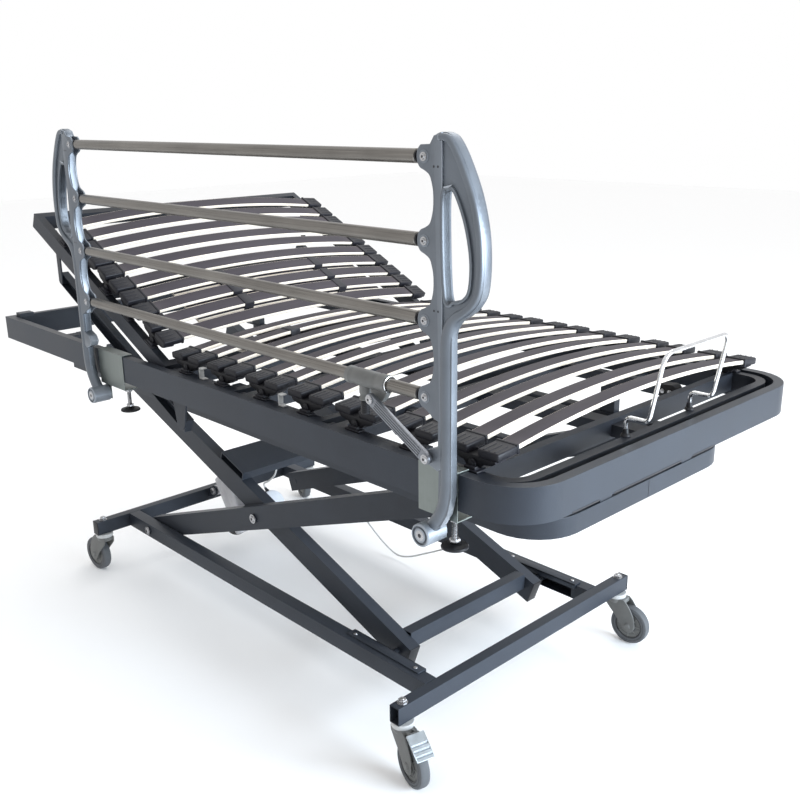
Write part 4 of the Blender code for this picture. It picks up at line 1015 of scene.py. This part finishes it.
def strut():
    shape = Shape()
    near, far = -0.506, -0.4965
    start, end = Vector(STRUT_POST), Vector(STRUT_SLEEVE)
    along = (end - start).normalized()
    across = Vector((-along.y, along.x))
    tilt = math.degrees(math.atan2(along.y, along.x))
    outline = arc(STRUT_POST, 0.0098, tilt + 90, tilt + 270, 14) + arc(STRUT_SLEEVE, 0.0098, tilt - 90, tilt + 90, 14)
    shape.plate([outline], near + 0.0016, far, 0.0009)
    for offset in (-0.0066, -0.0022, 0.0022, 0.0066):
        # the drawn ribs that run along its near face
        first, last = start + along * 0.0145 + across * offset, end - along * 0.0145 + across * offset
        half = across * 0.0013
        rib = [tuple(first - half), tuple(last - half), tuple(last + half), tuple(first + half)]
        shape.plate([rib], near + 0.0002, near + 0.0025, 0.0004)
    for place in (STRUT_POST, STRUT_SLEEVE):
        shape.rod((place[0], near + 0.002, place[1]), (place[0], near + 0.0006, place[1]), 0.0088, 28, 0.0003)
        button(shape, (place[0], near + 0.0006, place[1]), (0, -1, 0), 0.0062, 0.0028, 1, 2)
    shape.place("guard_strut_rail", "guard_strut", "guard_cast", [STRUT_METAL, BRIGHT, BLACK], ("guard_strut",))


def clamp_feet():
    for name, x in (("foot", FOOT_POST_X + 0.022), ("head", -0.296)):
        shape = Shape()
        profile = [(0.0, 0.602), (0.0205, 0.602), (0.0236, 0.6032), (0.024, 0.6052), (0.0228, 0.6072)]
        profile += [(0.0165, 0.6092), (0.012, 0.6105), (0.0105, 0.6117), (0.0, 0.6117)]
        shape.lathe(profile, (x, -0.446, 0.0), "Z", 44)
        shape.place("clamp_pad_" + name, "bed_frame", "black_rubber", BLACK, ("clamp_disc_" + name,))
        screw = Shape()
        thread = [(0.0, 0.6125), (0.004, 0.6125)]
        for turn in range(18):
            low = 0.613 + turn * 0.0026
            thread += [(0.0052, low + 0.0006), (0.0043, low + 0.0019)]
        thread += [(0.004, 0.661), (0.0, 0.661)]
        screw.lathe(thread, (x, -0.446, 0.0), "Z", 20)
        screw.rod((x, -0.446, 0.6135), (x, -0.446, 0.619), 0.0098, 6, 0.0006)
        screw.rod((x, -0.446, 0.652), (x, -0.446, 0.6585), 0.0098, 6, 0.0006)
        screw.rod((x, -0.446, 0.6585), (x, -0.446, 0.6612), 0.0125, 24, 0.0003)
        screw.place("clamp_screw_" + name, "bed_frame", "zinc", BRIGHT)
    pins = Shape()
    head = [(0.0, -0.5083), (0.007, -0.5083), (0.0098, -0.5074), (0.0104, -0.506), (0.0104, -0.5052)]
    for x in (FOOT_POST_X, HEAD_POST_X):
        pins.lathe(head + [(0.0, -0.5052)], (x, 0.0, BOSS_Z), "Y", 32)
        pins.rod((x, -0.5078, BOSS_Z), (x, -0.46, BOSS_Z), 0.0062, 20)
        pins.slot = 1
        # painted shade: a dark hex disc on the pin's head in place of its socket
        pins.rod((x, -0.508, BOSS_Z), (x, -0.50845, BOSS_Z), 0.004, 6)
        pins.slot = 0
    pins.place("guard_pins", "bed_frame", "zinc", [BRIGHT, BLACK])


def guard():
    metals = [CAST, BRIGHT, BLACK]
    foot = Matrix.Translation((FOOT_POST_X, 0, 0))
    head = Matrix.Translation((HEAD_POST_X, 0, 0)) @ Matrix.Scale(-1.0, 4, (1, 0, 0))
    for end, matrix in (("foot", foot), ("head", head)):
        body = "guard_%s_post" % end
        post_shape().place("guard_post_%s_cast" % end, body, "guard_cast", metals, (body,), matrix=matrix)
    bars()
    latch()
    strut()
    clamp_feet()


guard()


# ---- mattress retainer ----
def retainer():
    half, bend = 0.11, 0.022
    x0, x1, x2 = 0.916, 0.962, 0.9855
    z0, z1, z3 = DECK_TOP + 0.0004, 0.78, 0.908
    lean = (x2 - x1) / (z3 - z1)
    near = [(x0, -half, z0), (x0, -half, z0 + 0.02), (x0, -half, z1 - 0.01), (x0 + 0.0016, -half, z1 - 0.0045)]
    near += [(x0 + 0.0055, -half, z1 - 0.001), (x0 + 0.01, -half, z1), (x1 - 0.01, -half, z1)]
    near += [(x1 - 0.0045, -half, z1 + 0.001), (x1 - 0.0008, -half, z1 + 0.0045)]
    near += [(x1 + lean * 0.011, -half, z1 + 0.011)]
    for step in range(13):
        angle = math.pi / 2 * step / 12
        z = z3 - bend + bend * math.sin(angle)
        near.append((x1 + (z - z1) * lean, -half + bend - bend * math.cos(angle), z))
    near = [Vector(point) for point in near]
    far = [Vector((point.x, -point.y, point.z)) for point in reversed(near)]
    shape = Shape()
    shape.tube(near + far, 0.004, 18)
    shape.slot = 1
    for y in (-half, half):
        profile = [(0.0042, 0.0001), (0.0092, 0.0001), (0.0096, 0.0014), (0.0084, 0.004), (0.0062, 0.0064)]
        profile += [(0.005, 0.014), (0.0042, 0.0146), (0.0042, 0.0001)]
        shape.lathe(profile, (x0, y, DECK_TOP + 0.0003), "Z", 28)
    shape.place("retainer_wire", "leg_section", "chrome", [CHROME, BLACK], ("mattress_retainer",))


retainer()


# ---- casters ----
def caster(name, x, y, heading):
    turn = Matrix.Translation((x, y, 0)) @ Matrix.Rotation(math.radians(heading), 4, "Z")
    axle = (CASTER_TRAIL, WHEEL)
    fork = Shape()
    side = [(-0.0212, 0.1165), (0.006, 0.1172), (0.029, 0.1172), (0.038, 0.109), (0.047, 0.0965)]
    side += [(0.056, 0.08), (0.06, 0.065)] + arc(axle, 0.0178, 25, -155, 18)
    side += [(0.018, 0.056), (0.005, 0.072), (-0.01, 0.087), (-0.0205, 0.099), (-0.0218, 0.109)]
    for low in (0.0133, -0.0168):
        fork.plate([side], low, low + 0.0035, 0.0011, 3)
    fork.box((-0.0208, -0.015, 0.1045), (0.03, 0.015, 0.1172), 0.0035, 3)
    crown = [(0.0, 0.104), (0.019, 0.104), (0.0208, 0.1075), (0.0215, 0.113), (0.0218, 0.1168), (0.0, 0.1168)]
    fork.lathe(crown, (0.0, 0.0, 0.0), "Z", 36)
    for facing in (-1, 1):
        cap = [(0.0, 0.0166), (0.0088, 0.0166), (0.0086, 0.018), (0.0066, 0.0188), (0.0062, 0.0196), (0.0, 0.0199)]
        cap = [(radius, facing * along) for radius, along in cap]
        fork.lathe(cap, (axle[0], 0.0, axle[1]), "Y", 28)
    fork.rod((axle[0], -0.0168, axle[1]), (axle[0], 0.0168, axle[1]), 0.005, 18)
    if name == "near_foot":
        # the lugs and the spindle that the brake plate hangs on
        for facing in (-1, 1):
            ends = sorted((facing * 0.006, facing * 0.01))
            lug = [(0.023, 0.1165), (0.044, 0.1255), (0.0475, 0.1255), (0.0485, 0.1215)]
            lug += [(0.035, 0.1065), (0.023, 0.106)]
            fork.plate([lug], ends[0], ends[1], 0.0008)
        fork.rod((0.0445, -0.012, 0.1228), (0.0445, 0.012, 0.1228), 0.0018, 14)
    fork.slot = 1
    collar = [(0.0, 0.116), (0.02, 0.116), (0.0236, 0.117), (0.0245, 0.119), (0.0245, 0.1262), (0.0232, 0.1277)]
    collar += [(0.0, 0.1277)]
    fork.lathe(collar, (0.0, 0.0, 0.0), "Z", 44)
    greys = [FORK_GREY, COLLAR_GREY]
    fork.place("caster_body_" + name, "caster_" + name, "caster_grey", greys, ("caster_fork_" + name,), matrix=turn)

    wheel = Shape()
    half = [(0.035, 0.0095), (0.0358, 0.0116), (0.0398, 0.0118), (0.0404, 0.0108), (0.0414, 0.0108), (0.042, 0.0117)]
    half += [(0.0458, 0.0114), (0.0484, 0.01), (0.0496, 0.0074), (0.05, 0.004)]
    rim = half + [(radius, -along) for radius, along in reversed(half)]
    wheel.lathe(rim + [half[0]], (axle[0], 0.0, axle[1]), "Y", 64)
    wheel.slot = 1
    hub = [(0.0054, 0.0123), (0.0118, 0.0123), (0.0124, 0.0112), (0.0148, 0.0112), (0.0154, 0.0119)]
    hub += [(0.0178, 0.0112), (0.0188, 0.0086), (0.023, 0.0086), (0.0234, 0.008), (0.0242, 0.008)]
    hub += [(0.0246, 0.0086), (0.0326, 0.0086), (0.0334, 0.0102), (0.0346, 0.0108), (0.0353, 0.009)]
    ring = hub + [(radius, -along) for radius, along in reversed(hub)]
    wheel.lathe(ring + [hub[0]], (axle[0], 0.0, axle[1]), "Y", 64)
    wheel.slot = 2
    for facing in (-1, 1):
        for inner, outer, face in ((0.033, 0.0351, 0.0107), (0.0186, 0.0196, 0.0093), (0.0126, 0.0146, 0.0115)):
            # a dark ring between the hub's steps
            groove = [(inner, 0.007), (outer, 0.007), (outer, face), (inner, face)]
            groove = [(radius, facing * along) for radius, along in groove]
            wheel.lathe(groove + [groove[0]], (axle[0], 0.0, axle[1]), "Y", 48)
    wheel.slot = 1
    for facing in (-1, 1):
        for spoke in range(8):
            spin = about((axle[0], 0.0, axle[1]), 2 * math.pi * spoke / 8)
            ends = sorted((facing * 0.008, facing * 0.0094))
            low, high = (axle[0] + 0.018, ends[0], axle[1] - 0.0012), (axle[0] + 0.0335, ends[1], axle[1] + 0.0012)
            wheel.box(low, high, 0.0004, 1, spin)
    greys = [TYRE_GREY, HUB_GREY, BLACK]
    wheel.place("caster_tyre_" + name, "wheel_" + name, "wheel_grey", greys, ("caster_wheel_" + name,), matrix=turn)
    if name == "near_foot":
        pedal = Shape()
        top = [(0.0002, 0.0018), (0.0205, 0.0018)]
        for rib in range(3):
            start = 0.0215 + rib * 0.0112
            top += [(start, 0.0018), (start + 0.0012, -0.0002), (start + 0.0036, -0.0002), (start + 0.005, 0.0019)]
        top += [(0.055, 0.0019), (0.056, 0.0008), (0.056, -0.0018), (0.0002, -0.0018)]
        pedal.plate([top], -0.0198, 0.0198, 0.0)
        for facing in (-1, 1):
            ends = sorted((facing * 0.0186, facing * 0.02))
            pedal.box((0.0015, ends[0], -0.002), (0.055, ends[1], 0.002), 0.0005)
        tilt = Matrix.Translation(PEDAL_HINGE) @ Matrix.Rotation(PEDAL_TILT, 4, "Y")
        matrix = turn @ tilt
        pedal.place("brake_plate", "brake_pedal", "zinc", BRIGHT_ZINC, ("brake_pedal",), matrix=matrix, bevel=0.0004)


for corner_name, (corner_x, corner_y, corner_heading) in CASTERS.items():
    caster(corner_name, corner_x, corner_y, corner_heading)


# ---- lift drive ----
def drive():
    drop = MOTOR_DROP
    shape = Shape()
    eye = [(0.0082, -0.018), (0.0148, -0.018), (0.016, -0.0168), (0.016, 0.0168), (0.0148, 0.018), (0.0082, 0.018)]
    shape.lathe(eye + [eye[0]], (0.0, 0.0, 0.0), "Y", 32)
    shape.box((0.012, -0.0118, -0.0118), (0.06, 0.0118, 0.0118), 0.003, 3)
    for rib in (-0.007, 0.007):
        shape.box((0.01, rib - 0.0015, -0.015), (0.05, rib + 0.0015, 0.015), 0.001)
    shape.box((0.045, -0.037, -0.16), (0.0815, 0.037, 0.03), 0.009, 4)
    shape.box((0.0823, -0.037, -0.16), (0.12, 0.037, 0.03), 0.009, 4)
    shape.box((0.055, -0.035, -0.157), (0.11, 0.035, 0.027), 0.006, 3)
    for z in (-0.142, -0.062, 0.014):
        for facing in (-1, 1):
            shape.rod((0.066, facing * 0.036, z), (0.066, facing * 0.03705, z), 0.0062, 24, 0.0003)
    tube = [(0.013, 0.12), (0.0198, 0.12), (0.0198, 0.338), (0.021, 0.34), (0.021, 0.3588), (0.02, 0.36)]
    tube += [(0.013, 0.36), (0.013, 0.12)]
    shape.lathe(tube, (0.0, 0.0, 0.0), "X", 36)
    neck = [(0.0, 0.1), (0.026, 0.1), (0.026, 0.124), (0.0235, 0.13), (0.0205, 0.134), (0.0, 0.134)]
    shape.lathe(neck, (0.0, 0.0, 0.0), "X", 36)
    shape.slot = 1
    blue = [(0.0, 0.046), (0.0345, 0.046), (0.0358, 0.05), (0.0358, 0.118), (0.035, 0.12), (0.035, 0.124)]
    blue += [(0.036, 0.126), (0.036, 0.228), (0.0345, 0.232), (0.0, 0.232)]
    shape.lathe(blue, (0.0, 0.0, drop), "X", 44)
    shape.slot = 2
    cap = [(0.0, 0.0), (0.031, 0.0), (0.0352, 0.004), (0.0362, 0.009), (0.0362, 0.044), (0.035, 0.047)]
    cap += [(0.0, 0.047)]
    shape.lathe(cap, (0.0, 0.0, drop), "X", 44)
    shape.slot = 3
    end = [(0.0, 0.231), (0.033, 0.231)]
    for rib in range(5):
        start = 0.232 + rib * 0.0058
        end += [(0.0358, start + 0.0006), (0.0358, start + 0.0034), (0.033, start + 0.004), (0.033, start + 0.0056)]
    end += [(0.034, 0.262), (0.033, 0.2665), (0.027, 0.2695), (0.0, 0.27)]
    shape.lathe(end, (0.0, 0.0, drop), "X", 44)
    shape.slot = 2
    side = drop + 0.0362 + CORD_GAP
    start, along = Vector((0.25, 0.0, side)), Vector((0.002, -0.004, 0.012)).normalized()
    shape.rod(start - along * 0.003, start + along * 0.002, 0.0062, 20, 0.0004)
    shape.rod(start + along * 0.0018, start + along * 0.0125, 0.005, 20, 0.0, 0.0031)
    shape.rod((0.35, 0.0, -0.0198), (0.35, 0.0, -0.0262), 0.0052, 20, 0.0, 0.0036)
    materials = [MOTOR_GREY, MOTOR_BLUE, BLACK, MOTOR_PALE]
    shape.place("drive_housing_body", "drive_body", "motor_grey", materials, ("lift_drive_housing",), matrix=DRIVE_TURN)
    pin = Shape()
    pin.rod((DRIVE_BASE[0], -0.0305, DRIVE_BASE[1]), (DRIVE_BASE[0], 0.0305, DRIVE_BASE[1]), 0.0078, 20, 0.0005)
    for facing in (-1, 1):
        hex_nut(pin, (DRIVE_BASE[0], facing * 0.0272, DRIVE_BASE[1]), (0, facing, 0), 0.0105, 0.0045)
    pin.place("drive_pin_fixed", "chassis", "zinc", BRIGHT)
    pin = Shape()
    pin.rod((DRIVE_TIP[0], -0.0245, DRIVE_TIP[1]), (DRIVE_TIP[0], 0.0245, DRIVE_TIP[1]), 0.005, 20, 0.0005)
    for facing in (-1, 1):
        hex_nut(pin, (DRIVE_TIP[0], facing * 0.0213, DRIVE_TIP[1]), (0, facing, 0), 0.0085, 0.0035)
    pin.place("drive_pin_moving", "inner_arms", "zinc", BRIGHT)


drive()


# ---- end caps, bolts and the hardware under the leg section ----
def arm_frames():
    """For each pair of arms: body, turn, inside and outside Y, and where the arm starts and ends."""
    rise = Matrix.Translation((PIVOT[0], 0.0, PIVOT[1])) @ Matrix.Rotation(-LIFT_ANGLE, 4, "Y")
    fall = Matrix.Translation((CENTRE[0], 0.0, CENTRE[1])) @ Matrix.Rotation(math.pi + LIFT_ANGLE, 4, "Y")
    outer = ("outer_arms", rise, 0.235, 0.265, -0.03, LOWER_HALF + UPPER_HALF + 0.03)
    inner = ("inner_arms", fall, 0.202, 0.232, -LOWER_HALF - 0.03, UPPER_HALF + 0.03)
    return outer, inner


def end_caps():
    caps = Shape()
    for x in (0.6075, -0.6665):
        for facing in (-1, 1):
            if x > 0 and facing < 0:
                continue
            ends = sorted((facing * 0.403, facing * 0.4058))
            caps.box((x - 0.0139, ends[0], TUBE_BOTTOM - 0.0004), (x + 0.0139, ends[1], TUBE_TOP + 0.0004), 0.0011, 3)
            ends = sorted((facing * 0.39, facing * 0.4035))
            caps.box((x - 0.011, ends[0], TUBE_BOTTOM + 0.0025), (x + 0.011, ends[1], TUBE_TOP - 0.0025))
    caps.place("chassis_end_caps", "chassis", "black_rubber", BLACK)
    for body, frame_turn, inside, outside, start, end in arm_frames():
        shape = Shape()
        for facing in (-1, 1):
            ys = sorted((facing * (inside - 0.0004), facing * (outside + 0.0004)))
            core = sorted((facing * (inside + 0.0025), facing * (outside - 0.0025)))
            for place, out in ((start, -1), (end, 1)):
                xs = sorted((place - out * 0.0004, place + out * 0.0026))
                shape.box((xs[0], ys[0], -0.0304), (xs[1], ys[1], 0.0304), 0.0012, 3)
                xs = sorted((place - out * 0.012, place + out * 0.001))
                shape.box((xs[0], core[0], -0.0275), (xs[1], core[1], 0.0275))
        shape.place(body + "_end_caps", body, "black_rubber", BLACK, matrix=frame_turn)
    bolts = Shape()
    rise = arm_frames()[0][1]
    for facing in (-1, 1):
        button(bolts, (0.0, facing * 0.306, 0.0), (0, facing, 0), 0.0095, 0.0042, 0, 1)
        button(bolts, (LOWER_HALF, facing * 0.269, 0.0), (0, facing, 0), 0.0095, 0.0042, 0, 1)
    bolts.place("arm_pivot_bolts", "outer_arms", "zinc", [BRIGHT, BLACK], matrix=rise)
    tracks = Shape()
    for facing in (-1, 1):
        ys = sorted((facing * 0.2635, facing * 0.288))
        tracks.box((0.33, ys[0], TUBE_TOP + 0.0002), (0.56, ys[1], TUBE_TOP + 0.0034), 0.0008)
        ys = sorted((facing * 0.2635, facing * 0.2665))
        tracks.box((0.33, ys[0], TUBE_BOTTOM + 0.03), (0.56, ys[1], TUBE_TOP + 0.0034), 0.0008)
        tracks.slot = 1
        for x in (0.348, 0.542):
            y = facing * 0.278
            tracks.rod((x, y, TUBE_TOP + 0.003), (x, y, TUBE_TOP + 0.0056), 0.0046, 20, 0.0008)
        tracks.slot = 0
    tracks.place("rail_track_plates", "chassis", "frame_paint", [FRAME_PAINT, BRIGHT])
    nuts = Shape()
    for x, y, _ in CASTERS.values():
        hex_nut(nuts, (x, y, TUBE_TOP), (0, 0, 1), 0.0092, 0.0066, 0.0022)
    nuts.place("caster_nuts", "chassis", "zinc", BRIGHT)


def leg_hardware():
    channel = Shape()
    channel.box((0.796, -0.36, 0.703), (0.8225, -0.05, 0.706), 0.0006)
    channel.box((0.796, -0.36, 0.703), (0.7986, -0.05, 0.7225), 0.0006)
    channel.box((0.8199, -0.36, 0.703), (0.8225, -0.05, 0.7225), 0.0006)
    channel.slot = 1
    for y in (-0.335, -0.205, -0.075):
        channel.rod((0.8092, y, 0.7058), (0.8092, y, 0.7095), 0.0055, 20, 0.0005)
    channel.place("leg_cross_channel", "leg_section", "frame_paint", [SATIN_PAINT, BRIGHT])
    for name, y in (("near", -0.25), ("far", 0.255)):
        lever = Shape()
        lever.box((0.496, y - 0.012, 0.713), (0.785, y + 0.012, 0.7385), 0.002, 3)
        lever.slot = 1
        tip = [(0.77, 0.7115), (0.796, 0.7115)] + arc((0.796, 0.727), 0.0155, -90, 90, 14) + [(0.77, 0.74)]
        lever.plate([tip], y - 0.014, y + 0.014, 0.0022, 3)
        lever.slot = 2
        for x in (0.778, 0.796):
            for facing in (-1, 1):
                ends = y + facing * 0.0136, y + facing * 0.0163
                lever.rod((x, ends[0], 0.7262), (x, ends[1], 0.7262), 0.005, 20, 0.0005)
        lever.place("leg_support_" + name, "leg_section", "deck_paint", [DECK_PAINT, BLACK, BRIGHT])


# y spans of the painted shade strips at the foot rail's lower edge
PAINTED_SHADE_GAPS = ((-0.345, -0.27), (-0.228, -0.01), (0.03, 0.11))


def frame_details():
    seam_and_shade = Shape()
    seam_and_shade.box((0.9046, -0.0007, 0.5882), (0.9054, 0.0007, 0.6258))
    for start, end in PAINTED_SHADE_GAPS:
        # painted shade: thin black strips, standing just proud of the foot rail, where the open joints between the two
        # frames lie in shade between the welds at its lower edge
        seam_and_shade.box((0.974, start, 0.6826), (0.9755, end, 0.6858), 0.0003)
    seam_and_shade.place("top_frame_seam_and_shade_strips", "bed_frame", "black_rubber", BLACK)
    hinges = {"back_section": BACK_HINGE, "thigh_section": 0.175, "leg_section": 0.469}
    for body, x in hinges.items():
        shape = Shape()
        for facing in (-1, 1):
            ys = sorted((facing * 0.4185, facing * 0.4402))
            shape.rod((x, ys[0], HINGE_Z), (x, ys[1], HINGE_Z), 0.0118, 28, 0.0008)
            low, high = (x - 0.0158, ys[0] + 0.006, HINGE_Z - 0.006), (x + 0.0158, ys[1] - 0.006, HINGE_Z + 0.006)
            shape.box(low, high, 0.0012)
            shape.slot = 1
            shape.rod((x, facing * 0.44, HINGE_Z), (x, facing * 0.4424, HINGE_Z), 0.0062, 20, 0.0006)
            shape.slot = 0
        matrix = BACK_TURN if body == "back_section" else Matrix.Identity(4)
        shape.place(body + "_knuckles", body, "deck_paint", [DECK_PAINT, BRIGHT], matrix=matrix)


def holder_tabs():
    """Pale brackets beside the holders on the near side."""
    sides = ((-0.009, 0.0003, 0.009, 0.003), (-0.009, 0.0003, -0.0065, 0.026), (-0.009, 0.0235, 0.006, 0.026))
    for body, x in (("bed_frame", 0.031), ("thigh_section", 0.323)):
        tabs = Shape()
        for x0, z0, x1, z1 in sides:
            tabs.box((x + x0, -0.436, DECK_TOP + z0), (x + x1, -0.424, DECK_TOP + z1), 0.0006)
        tabs.place("holder_tabs_" + body, body, "zinc", COLLAR_GREY)


end_caps()
leg_hardware()
frame_details()
holder_tabs()
